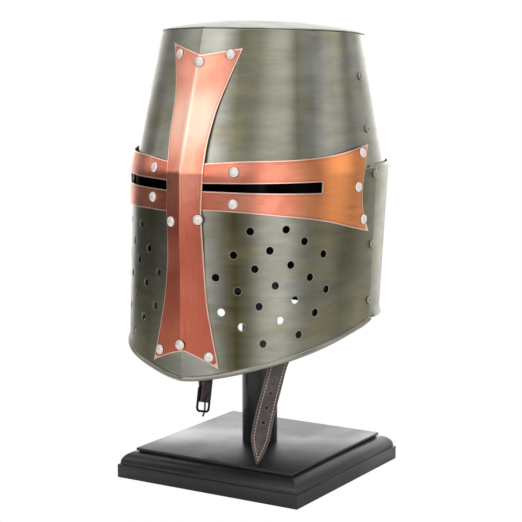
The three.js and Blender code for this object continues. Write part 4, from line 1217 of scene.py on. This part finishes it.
class HELM_OT_crown(bpy.types.Operator):
    """Domed top plate with a rounded edge"""

    bl_idname = "helm.crown"
    bl_label = "Crown plate"

    def execute(self, context):
        w = wall()
        s = w.s
        runs = (np.arange(CROWN_SIDES) * 2 / CROWN_SIDES - 1) * w.half_girth
        rings = [w.crown_point(runs, share, s.steel) for share in CROWN_SHARES]
        for turn in np.linspace(math.pi / 2, -math.pi / 2, CROWN_EDGE_POINTS):
            share = 1 - CROWN_ROUNDING * (1 - math.cos(turn)) / (s.brow_width * CROWN["width"] / 2)
            flat = (s.steel / 2 - CROWN_ROUNDING) * np.sign(math.sin(turn))
            rise = s.steel / 2 + flat + CROWN_ROUNDING * math.sin(turn)
            rings.append(w.crown_point(runs, share, float(rise)))
        rings += [w.crown_point(runs, share, 0.0) for share in CROWN_SHARES[::-1]]
        points = np.concatenate(rings)
        k = np.arange(CROWN_SIDES)
        after = (k + 1) % CROWN_SIDES
        starts = [i * CROWN_SIDES for i in range(len(rings))]
        quads = [np.stack([a + k, b + k, b + after, a + after], axis=1) for a, b in zip(starts, starts[1:])]
        caps = [k.tolist(), (starts[-1] + k[::-1]).tolist()]
        mesh = bpy.data.meshes.new("crown_top")
        mesh.from_pydata(points.tolist(), [], np.concatenate(quads).tolist() + caps)
        smooth_faces(mesh)
        store_map(mesh, points[:, :2])
        store(mesh, "edge", np.full(len(points), FAR_FROM_EDGE))
        store(mesh, "tone", np.full(len(points), CROWN_TONE))
        mesh.materials.append(browned_steel())
        made = linked("crown_top", mesh)
        outward(made)
        dress(made, "steel", "crown_plate")
        return {"FINISHED"}


def outward(made):
    """Turns a closed mesh's faces outwards."""
    mesh = made.data
    points = np.array([v.co for v in mesh.vertices])
    volume = 0.0
    for face in mesh.polygons:
        corner = points[list(face.vertices)]
        for a, b in zip(corner[1:], corner[2:]):
            volume += float(np.dot(corner[0], np.cross(a, b)))
    if volume < 0:
        mesh.flip_normals()


class HELM_OT_walls(bpy.types.Operator):
    """Upper and lower wall plates with slits, breath holes and the rolled rim"""

    bl_idname = "helm.walls"
    bl_label = "Wall plates"

    def execute(self, context):
        w = wall()
        s = w.s
        material = browned_steel()

        def flat(height):
            return lambda runs: np.full_like(runs, height)

        # Upright bands of the rubbed finish mixed with painted reflection, from a table
        def rubbing_and_reflection(rows):
            places, rubbed = np.array(rows).T
            return lambda uv: np.interp(uv[:, 0] / w.seam, places, rubbed)

        def even(rubbed):
            return lambda uv: np.full(len(uv), rubbed)

        def place(face, extra=None):
            def surface(run, height, offset):
                more = extra(run, height) if extra else 0.0
                return w.point(run, height, face + offset + more)
            return surface

        def behind(bottom, top):
            start = w.seam - s.seam_lap
            return rectangle(w, start, 2 * w.half_girth - start, bottom, top, s.plate_step)

        def steel_plate(name, outline, holes, surface, node, **settings):
            plate(name, outline, holes, surface, s.steel, material, "steel", node, **settings)

        bottom = flat(s.brow_height - s.brow_tuck)
        outline = rectangle(w, -w.seam, w.seam, bottom, w.crown_edge, s.plate_step)
        steel_plate("upper_front_plate", outline, [], place(w.upper_front), "upper_front",
                    crease=True, tone=rubbing_and_reflection(UPPER_RUBBING_AND_REFLECTION))
        steel_plate("upper_back_plate", behind(bottom, w.crown_edge), [], place(w.upper_back), "upper_back",
                    tone=even(BACK_RUBBING["upper"]))

        outline = rectangle(w, -w.seam, w.seam, w.front_edge, flat(s.brow_height), s.plate_step)
        holes = [sight_outline(w, sight, s.sight_margin) for sight in SIGHTS] + breath_outlines(w)
        steel_plate("lower_front_plate", outline, holes, place(w.lower_front), "lower_front",
                    crease=True, tone=rubbing_and_reflection(LOWER_RUBBING_AND_REFLECTION))

        runs = np.linspace(-w.seam, w.seam, RIM_POINTS)
        path = w.point(runs, w.front_edge(runs), w.lower_front - s.steel / 2)
        roll = grown("rolled_rim", path_mesh("rim_path", [(path, False)]), wire_tree(), {
            "Radius": s.rim_radius, "Sides": RIM_SIDES, "Material": material})
        dress(roll, "steel")

        outline = behind(w.back_edge, flat(s.brow_height + s.back_rise))
        steel_plate("lower_back_plate", outline, [], place(w.lower_back, w.back_flare), "lower_back",
                    tone=even(BACK_RUBBING["lower"]))
        return {"FINISHED"}


class HELM_OT_cross(bpy.types.Operator):
    """Copper band with the eye slits, and the upright over it"""

    bl_idname = "helm.cross"
    bl_label = "Copper cross"

    def execute(self, context):
        w = wall()
        s = w.s
        tip = BAND_RUN * w.seam

        def band_tone(places):
            """Orange towards the tips, tarnished towards the upright."""
            out = np.abs(places[:, 0]) / tip
            return 0.85 * smooth((out - 0.35) / 0.4) - 0.8 * (1 - smooth(out / 0.35))

        def bar_tone(places):
            """Painted highlight over the brow and along the ridge, darker below the brow."""
            over = places[:, 1] - s.brow_height
            # A painted highlight over the brow, then a painted highlight along the crease's ridge; lower
            # down the upright turns darker
            pale = 0.55 * smooth(over / (40 * MM)) - 0.35 * smooth((over - 50 * MM) / (40 * MM))
            ridge = 0.4 * (1 - smooth(np.abs(places[:, 0]) / (2.5 * MM))) * (over > 0)
            return pale + ridge - 0.7 * smooth((10 * MM - over) / (70 * MM))

        def on_walls(u, v, off):
            return w.point(u, v, w.band + off)

        def on_bar(u, v, off):
            return w.point(u, v, bar_face(w, v) + off)

        holes = [sight_outline(w, sight, 0.0) for sight in SIGHTS]
        heated = copper_sheet("brushed copper, heated", colours().copper_orange)
        plate("copper_band", band_outline(w), holes, on_walls, s.copper, heated, "copper", "cross_band",
              crease=True, tone=band_tone)
        # The upright's second colour is a painted highlight
        rubbed = copper_sheet("brushed copper, painted highlight", colours().copper_painted_highlight)
        plate("copper_upright", bar_outline(w), [], on_bar, s.copper, rubbed, "copper", "cross_bar",
              crease=True, tone=bar_tone, swap=True)
        return {"FINISHED"}


def rivet_heads(name, points, normals, diameter, rise, head, nodes):
    """One mesh of rivet heads, each on its point and along its normal."""
    made = grown(name, point_mesh(name, points, normals), rivet_tree(), {
        "Diameter": diameter, "Rise": rise, "Ring": RIVET_SHADOW_OVERHANG, "Head": head,
        "Shadow": rivet_shadow()})
    dress(made, "rivets", *nodes)


def rivet_piece(name, spots, diameter, rise, head, nodes):
    """One mesh of rivet heads; each spot is a surface, a run and a height."""
    points, normals = [], []
    for surface, run, height in spots:
        uv = np.array([[run, height]], float)
        points.append(surface(uv[:, 0], uv[:, 1], 0.0)[0])
        normals.append(surface_normals(surface, uv)[0])
    rivet_heads(name, points, normals, diameter, rise, head, nodes)


class HELM_OT_rivets(bpy.types.Operator):
    """Rivet heads on the cross and on the side seams"""

    bl_idname = "helm.rivets"
    bl_label = "Rivets"

    def execute(self, context):
        w = wall()
        s = w.s

        def over(face):
            return lambda u, v, off: w.point(u, v, face + off)

        def on_bar(u, v, off):
            return w.point(u, v, bar_face(w, v) + off)

        bright = [(on_bar, run * w.seam, float(w.level(level))) for _, run, level in BAR_RIVETS]
        bright += [(over(w.band), run * w.seam, float(w.level(level))) for _, run, level in BAND_RIVETS]
        names = [row[0] for row in BAR_RIVETS + BAND_RIVETS]
        rivet_piece("cross_rivets", bright, s.copper_rivet, s.copper_rivet_rise, nickel(), names)
        dull, names = [], []
        for name, level, upper in SEAM_RIVETS:
            face = over(w.upper_front if upper else w.lower_front)
            for side, sign in (("left", -1), ("right", 1)):
                dull.append((face, sign * (w.seam - s.seam_rivet_inset), float(w.level(level))))
                names.append(f"{name}_{side}")
        rivet_piece("seam_rivets", dull, s.seam_rivet, s.seam_rivet_rise, browned_steel(), names)
        return {"FINISHED"}


class Ribbon:
    """A strap's middle line with its face's direction; v runs up from its end, u across it."""

    def __init__(self, centres, faces):
        self.centres = np.asarray(centres)
        steps = np.linalg.norm(np.diff(self.centres, axis=0), axis=1)
        self.lengths = np.concatenate([[0.0], np.cumsum(steps)])
        along = unit(np.gradient(self.centres, axis=0))
        self.across = unit(np.cross(faces, along))
        self.faces = np.cross(along, self.across)
        self.length = self.lengths[-1]

    def at(self, place, rows):
        return np.stack([np.interp(place, self.lengths, rows[:, k]) for k in range(3)], axis=-1)

    def outer(self, thick):
        """The strap's outer face, as a surface for a cut sheet."""
        return lambda u, v, off: self.surface(u, v, thick / 2 + off)

    def surface(self, u, v, offset):
        """A place u across, v up from the end and offset out from the middle line."""
        place = np.clip(-v, 0, self.length)
        centre = self.at(place, self.centres)
        return centre + self.at(place, self.across) * u[..., None] + self.at(place, self.faces) * offset


def curve_through(keys, count):
    """A smooth curve through points, with knots spaced by the root of their distance."""
    keys = np.asarray(keys, float)
    knots = np.concatenate([[0.0], np.cumsum(np.sqrt(np.linalg.norm(np.diff(keys[:, :3], axis=0), axis=1)))])
    at = np.linspace(0, knots[-1], count)
    return np.stack([curve_value(knots, keys[:, k], at) for k in range(keys.shape[1])], axis=1)


def level_direction(degrees):
    turns = np.radians(degrees)
    return np.stack([np.sin(turns), -np.cos(turns), np.zeros_like(turns)], axis=-1)


def strap_line(w, wall_run, rows):
    """Middle line and facing of a strap, from its rivet inside the cheek down."""
    s = w.s
    keys = []
    run = wall_run * w.seam
    face = w.lower_front - s.steel - s.gap - STRAP_SEAT - s.strap_thickness / 2
    for drop in STRAP_WALL_DROPS:
        uv = np.array([[run, float(w.level(-drop))]])
        normal = surface_normals(lambda u, v, off: w.point(u, v, off), uv)[0]
        centre = w.point(uv[:, 0], uv[:, 1], face)[0]
        keys.append((*centre, math.degrees(math.atan2(normal[0], -normal[1]))))
    for x, y, level, turn in rows:
        keys.append((x * s.brow_width / 2, y * s.front_reach, float(w.level(level)), turn))
    line = curve_through(keys, STRAP_POINTS)
    return line[:, :3], level_direction(line[:, 3])


def stitch_piece(name, ribbon, half_width, stop):
    """Stitches along both edges of a strap, on both faces."""
    s = sizes()
    lines = []
    thickness = s.strap_thickness + 0.2 * s.thread
    v = -np.linspace(STITCH_START, ribbon.length - stop, STITCH_LINE_POINTS)
    for side in (-1, 1):
        for face in (thickness / 2, -thickness / 2):
            inset = np.maximum(half_width(-v) - s.stitch_inset, 0.0)
            lines.append((ribbon.surface(side * inset, v, face), False))
    made = grown(name, path_mesh(name, lines), stitch_tree(), {
        "Pitch": s.stitch_pitch, "Length": s.stitch_length, "Thread": s.thread, "Material": sewing_thread()})
    dress(made, "leather")


class HELM_OT_straps(bpy.types.Operator):
    """Chin straps with holes and stitches, their rivets and the buckle"""

    bl_idname = "helm.straps"
    bl_label = "Chin straps and buckle"

    def execute(self, context):
        w = wall()
        s = w.s
        leather = strap_leather()
        thick = s.strap_thickness

        centres, faces = strap_line(w, LONG_STRAP_WALL_RUN, LONG_STRAP)
        ribbon = Ribbon(centres, faces)

        def half_width(place):
            left = np.clip((ribbon.length - place) / s.strap_point, 0, 1)
            return s.strap_width / 2 * np.maximum(STRAP_TIP_SHARE, left**STRAP_TIP_POWER)

        places = ribbon.length * np.linspace(0, 1, STRAP_OUTLINE_POINTS)
        right = np.stack([half_width(places), -places], axis=1)[::-1]
        left = np.stack([-half_width(places), -places], axis=1)
        outline = np.concatenate([right, left])
        holes = []
        for k in range(STRAP_HOLES):
            place = ribbon.length - s.strap_first_hole - k * s.strap_hole_pitch
            holes.append(circle((0.0, -place), s.strap_hole / 2, 16))
        plate("chin_strap", outline, holes, ribbon.outer(thick), thick, leather, "leather", "strap_long",
              step=LONG_STRAP_STEP)
        stitch_piece("chin_strap_stitches", ribbon, half_width, STITCH_STOP["long"])

        centres, faces = strap_line(w, SHORT_STRAP_WALL_RUN, SHORT_STRAP)
        plain = Ribbon(centres, faces)
        end, face, across = plain.centres[-1], plain.faces[-1], plain.across[-1]
        along = np.cross(across, face)
        turn_radius = s.buckle_wire / 2 + s.gap + thick / 2
        bar = end - face * turn_radius
        turns = np.linspace(0, math.pi, FOLD_TURN_POINTS)[1:, None]
        around = face * np.cos(turns) + along * np.sin(turns)
        down = np.linspace(0, s.fold_length, FOLD_TAIL_POINTS)[1:, None]
        tail = bar - face * turn_radius - along * down
        centres = np.concatenate([plain.centres, bar + around * turn_radius, tail])
        faces = np.concatenate([plain.faces, around, np.repeat(-face[None], len(tail), axis=0)])
        folded = Ribbon(centres, faces)
        half = s.buckle_inner_width / 2 - 2 * s.gap
        outline = resample([
            (-half, -folded.length), (half, -folded.length), (half, 0.0), (-half, 0.0)], 2 * MM)
        slot_half = s.prong / 2 + 2 * s.gap
        turn_length = math.pi * turn_radius
        slot_top = -plain.length + s.slot_rise
        slot_low = -plain.length - turn_length - s.slot_rise
        slot = resample([
            (-slot_half, slot_low), (slot_half, slot_low), (slot_half, slot_top), (-slot_half, slot_top)],
            1 * MM)
        plate("buckle_strap", outline, [slot], folded.outer(thick), thick, leather, "leather", "strap_short",
              step=SHORT_STRAP_STEP)
        stitch_piece("buckle_strap_stitches", plain, lambda v: np.full_like(v, half), STITCH_STOP["short"])

        for name, line, node in (("chin_strap_rivet", ribbon, "strap_rivet_right"),
                                 ("buckle_strap_rivet", plain, "strap_rivet_left")):
            drop = np.array([STRAP_RIVET_DROP])
            spot, inner = line.at(drop, line.centres)[0], -line.at(drop, line.faces)[0]
            rivet_heads(name, [spot + inner * thick / 2], [inner], s.seam_rivet, s.seam_rivet_rise,
                        nickel(), [node])

        self.buckle(s, bar, across, face, along)
        return {"FINISHED"}

    def buckle(self, s, bar, across, face, along):
        """A wire frame with a bar across its middle, and the prong over it."""
        radius = s.buckle_wire / 2
        half = s.buckle_inner_width / 2 + radius
        reach = s.buckle_inner_height / 2 + radius
        corner = 3 * radius
        outline = []
        for x, y, start in ((-1, 1, math.pi), (1, 1, math.pi / 2), (1, -1, 0), (-1, -1, -math.pi / 2)):
            for turn in np.linspace(start, start - math.pi / 2, BUCKLE_CORNER_POINTS):
                outline.append((x * (half - corner) + corner * math.cos(turn),
                                y * (reach - corner) + corner * math.sin(turn)))
        ring = [bar + across * x + along * y for x, y in outline]
        middle = [bar + across * x for x in (-half, half)]
        iron = black_iron()
        wire = grown("buckle_wire", path_mesh("buckle_path", [(ring, True), (middle, False)]), wire_tree(), {
            "Radius": radius, "Sides": WIRE_SIDES, "Material": iron})
        dress(wire, "buckle", "buckle_frame")
        clear = radius + s.prong / 2 + s.gap
        keys = [
            (-clear * 0.6, -clear * 0.8), (0, -clear - s.gap), (clear * 0.8, -clear * 0.7),
            (clear * 1.05, 0), (clear * 0.95, clear * 0.6), (reach * 0.5, clear * 0.95),
            (reach, clear + s.gap / 3), (reach + s.prong_tip, clear * 0.4),
        ]
        line = curve_through([(*(bar + along * down - face * out),) for down, out in keys], PRONG_POINTS)
        prong = grown("buckle_tongue", path_mesh("prong_path", [(line, False)]), wire_tree(), {
            "Radius": s.prong / 2, "Sides": PRONG_SIDES, "Material": iron})
        dress(prong, "buckle", "buckle_prong")


class HELM_OT_stand(bpy.types.Operator):
    """Moulded square base and round post"""

    bl_idname = "helm.stand"
    bl_label = "Stand"

    def execute(self, context):
        s = sizes()
        lacquer = black_lacquer()
        edge, top = s.base_width / 2, s.top_board_width / 2
        shoulder_top = s.base_height - s.top_board - s.moulding_step / 2
        shoulder_out, shoulder_in = edge - s.moulding_step, top - s.moulding_step / 2
        foot = s.fascia_height + s.moulding_step / 2
        profile = [
            (edge, 0.0), (edge, s.fascia_height), (shoulder_out, s.fascia_height), (shoulder_out, foot)]
        for turn in np.linspace(0, math.pi / 2, SHOULDER_POINTS)[1:]:
            profile.append((shoulder_in + (shoulder_out - shoulder_in) * math.cos(turn),
                            foot + (shoulder_top - foot) * math.sin(turn)))
        grooved = top - s.moulding_step
        profile += [(grooved, shoulder_top), (grooved, s.base_height - s.top_board),
                    (top, s.base_height - s.top_board), (top, s.base_height)]
        corners = ((-1, -1), (1, -1), (1, 1), (-1, 1))
        points = [(x * half, y * half, z) for half, z in profile for x, y in corners]
        faces = [(4 * i + k, 4 * i + (k + 1) % 4, 4 * i + 4 + (k + 1) % 4, 4 * i + 4 + k)
                 for i in range(len(profile) - 1) for k in range(4)]
        last = 4 * (len(profile) - 1)
        faces += [(3, 2, 1, 0), (last, last + 1, last + 2, last + 3)]
        self.solid("base_block", points, faces, lacquer, BASE_ROUNDING, "stand_base")

        sides = POST_SIDES
        low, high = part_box("stand_post")
        ring = circle((0.0, 0.0), s.post / 2, sides)
        points = [(x, y, z) for z in (low.z, high.z) for x, y in ring]
        faces = [(k, (k + 1) % sides, sides + (k + 1) % sides, sides + k) for k in range(sides)]
        faces += [tuple(range(sides))[::-1], tuple(range(sides, 2 * sides))]
        self.solid("round_post", points, faces, lacquer, POST_ROUNDING, "stand_post")
        return {"FINISHED"}

    def solid(self, name, points, faces, material, rounding, node):
        """A closed body with its sharp edges rounded."""
        mesh = bpy.data.meshes.new(name)
        mesh.from_pydata(points, [], faces)
        mesh.materials.append(material)
        seed = linked(name + "_seed", mesh)
        bevel = seed.modifiers.new("rounding", "BEVEL")
        bevel.width = rounding
        bevel.segments = 2
        bevel.limit_method = "ANGLE"
        bevel.angle_limit = math.radians(ROUNDED_FROM)
        result = finished(seed, name)
        smooth_faces(result)
        result.set_sharp_from_angle(angle=math.radians(SHARP_FROM))
        dress(linked(name, result), "stand", node)


# Camera: direction in degrees, distance, height and sideways shift of its aim, lens and sensor in mm
CAMERA_AZIMUTH = 31.315
CAMERA_ELEVATION = 8.101
CAMERA_DISTANCE = 1460.944 * MM
CAMERA_AIM = 209.384 * MM
CAMERA_SIDE = 1.183 * MM
CAMERA_LENS = 102.344
CAMERA_SENSOR = 36

# Half width of the pale floor, and how bright the room's own light is beside white paper
FLOOR_REACH = 900 * MM
ROOM_LIGHT = 0.04

# Tall softboxes round the stand: middle and width in degrees of azimuth (0 is in front, 90 at the
# right), lower and upper edge in degrees of elevation, and how bright they are (1 is paper white)
SOFTBOX_DISTANCE = 2400 * MM
SOFTBOXES = (
    ("front_softbox", 1, 16, 5, 45, 2.5),
    ("front_edge", 16, 14, 5, 45, 0.9),
    ("right_softbox_a", 43, 19, -20, 45, 1.6),
    ("right_softbox_b", 60, 15, -20, 45, 1.2),
    ("right_softbox_c", 75, 15, -20, 45, 0.6),
    ("right_low", 102, 36, -20, -4, 0.22),
    ("far_right_softbox", 114, 26, -4, 45, 1.35),
    ("back_right_softbox", 151, 18, -20, 45, 0.75),
    ("back_softbox_a", 178, 28, -20, 45, 1.6),
    ("back_softbox_b", 207, 34, 12, 50, 1.4),
    ("back_softbox_low", 207, 52, -2, 12, 2.7),
    ("back_left_softbox_a", 225, 14, -20, 4, 1.8),
    ("back_left_softbox_b", 240, 15, 4, 45, 1.6),
    ("back_left_low", 240, 15, -20, 4, 2.0),
    ("back_left_softbox_c", 255, 15, 0, 45, 0.45),
    ("left_softbox", 289, 22, 7, 45, 1.5),
    ("left_low", 325, 20, -20, -4, 0.4),
    ("front_left_softbox", 348, 18, -20, 45, 0.95),
)
# Overhead softbox: width, height over the aim, and how bright it is
OVERHEAD = (2600 * MM, 2200 * MM, 1.6)


class HELM_OT_stage(bpy.types.Operator):
    """Pale floor, soft studio light and the camera"""

    bl_idname = "helm.stage"
    bl_label = "Stage"

    def execute(self, context):
        scene = context.scene
        scene.view_settings.view_transform = "Standard"
        reach = FLOOR_REACH
        mesh = bpy.data.meshes.new("floor")
        mesh.from_pydata([(-reach, -reach, 0), (reach, -reach, 0), (reach, reach, 0), (-reach, reach, 0)],
                         [], [(0, 1, 2, 3)])
        mesh.materials.append(pale_floor())
        linked("floor", mesh)

        world = bpy.data.worlds.new("studio")
        world.use_nodes = True
        tree = world.node_tree
        seen = add_node(tree, "ShaderNodeLightPath").outputs["Is Camera Ray"]
        strength = add_node(tree, "ShaderNodeMapRange", {
            "Value": seen, "To Min": ROOM_LIGHT, "To Max": 1.0}).outputs[0]
        tree.nodes["Background"].inputs["Color"].default_value = (1.0, 1.0, 1.0, 1.0)
        tree.links.new(strength, tree.nodes["Background"].inputs["Strength"])
        scene.world = world

        def softbox(name, width, height, radiance, placement):
            light = bpy.data.lights.new(name, "AREA")
            light.shape = "RECTANGLE"
            light.size = width
            light.size_y = height
            light.energy = math.pi * width * height * radiance
            linked(name, light).matrix_world = placement

        aim = np.array([0.0, 0.0, CAMERA_AIM])
        for name, azimuth, spread, low, high, radiance in SOFTBOXES:
            edges = [SOFTBOX_DISTANCE * math.tan(math.radians(edge)) for edge in (low, high)]
            width = 2 * SOFTBOX_DISTANCE * math.tan(math.radians(spread / 2))
            placement = looking(azimuth, 0, SOFTBOX_DISTANCE, aim + [0, 0, sum(edges) / 2])
            softbox(name, width, edges[1] - edges[0], radiance, placement)
        width, height, radiance = OVERHEAD
        softbox("overhead_softbox", width, width, radiance, looking(0, 90, height, aim))

        camera = bpy.data.cameras.new("camera")
        camera.lens = CAMERA_LENS
        camera.sensor_width = CAMERA_SENSOR
        made = linked("camera", camera)
        turn = math.radians(CAMERA_AZIMUTH)
        aim = aim + CAMERA_SIDE * np.array([math.cos(turn), math.sin(turn), 0])
        made.matrix_world = looking(CAMERA_AZIMUTH, CAMERA_ELEVATION, CAMERA_DISTANCE, aim)
        scene.camera = made
        return {"FINISHED"}


def looking(azimuth, elevation, distance, aim):
    """Placement of a light or camera that looks at a point; azimuth 0 stands in front, at -Y."""
    a, e = math.radians(azimuth), math.radians(elevation)
    right = np.array([math.cos(a), math.sin(a), 0.0])
    back = np.array([math.sin(a) * math.cos(e), -math.cos(a) * math.cos(e), math.sin(e)])
    up = np.cross(back, right)
    place = aim + distance * back
    rows = np.stack([right, up, back, place], axis=1)
    return Matrix([*rows.tolist(), [0, 0, 0, 1]])


class HELM_PT_panel(bpy.types.Panel):
    """Sizes, colours and the pieces' buttons"""

    bl_label = "Great helm"
    bl_idname = "HELM_PT_panel"
    bl_space_type = "VIEW_3D"
    bl_region_type = "UI"
    bl_category = "Great helm"

    def draw(self, context):
        for group in (context.scene.helm_sizes, context.scene.helm_colours):
            box = self.layout.box()
            for key in group.__annotations__:
                box.prop(group, key)
        for operator in OPERATORS:
            self.layout.operator(operator.bl_idname)


OPERATORS = (
    HELM_OT_crown, HELM_OT_walls, HELM_OT_cross, HELM_OT_rivets, HELM_OT_straps, HELM_OT_stand,
    HELM_OT_stage,
)
CLASSES = (HelmSizes, HelmColours, *OPERATORS, HELM_PT_panel)


def register():
    for item in CLASSES:
        bpy.utils.register_class(item)
    bpy.types.Scene.helm_sizes = bpy.props.PointerProperty(type=HelmSizes)
    bpy.types.Scene.helm_colours = bpy.props.PointerProperty(type=HelmColours)


def unregister():
    del bpy.types.Scene.helm_colours
    del bpy.types.Scene.helm_sizes
    for item in reversed(CLASSES):
        bpy.utils.unregister_class(item)


def main():
    register()
    bpy.ops.helm.crown()
    bpy.ops.helm.walls()
    bpy.ops.helm.cross()
    bpy.ops.helm.rivets()
    bpy.ops.helm.straps()
    bpy.ops.helm.stand()
    bpy.ops.helm.stage()


if __name__ == "__main__":
    main()
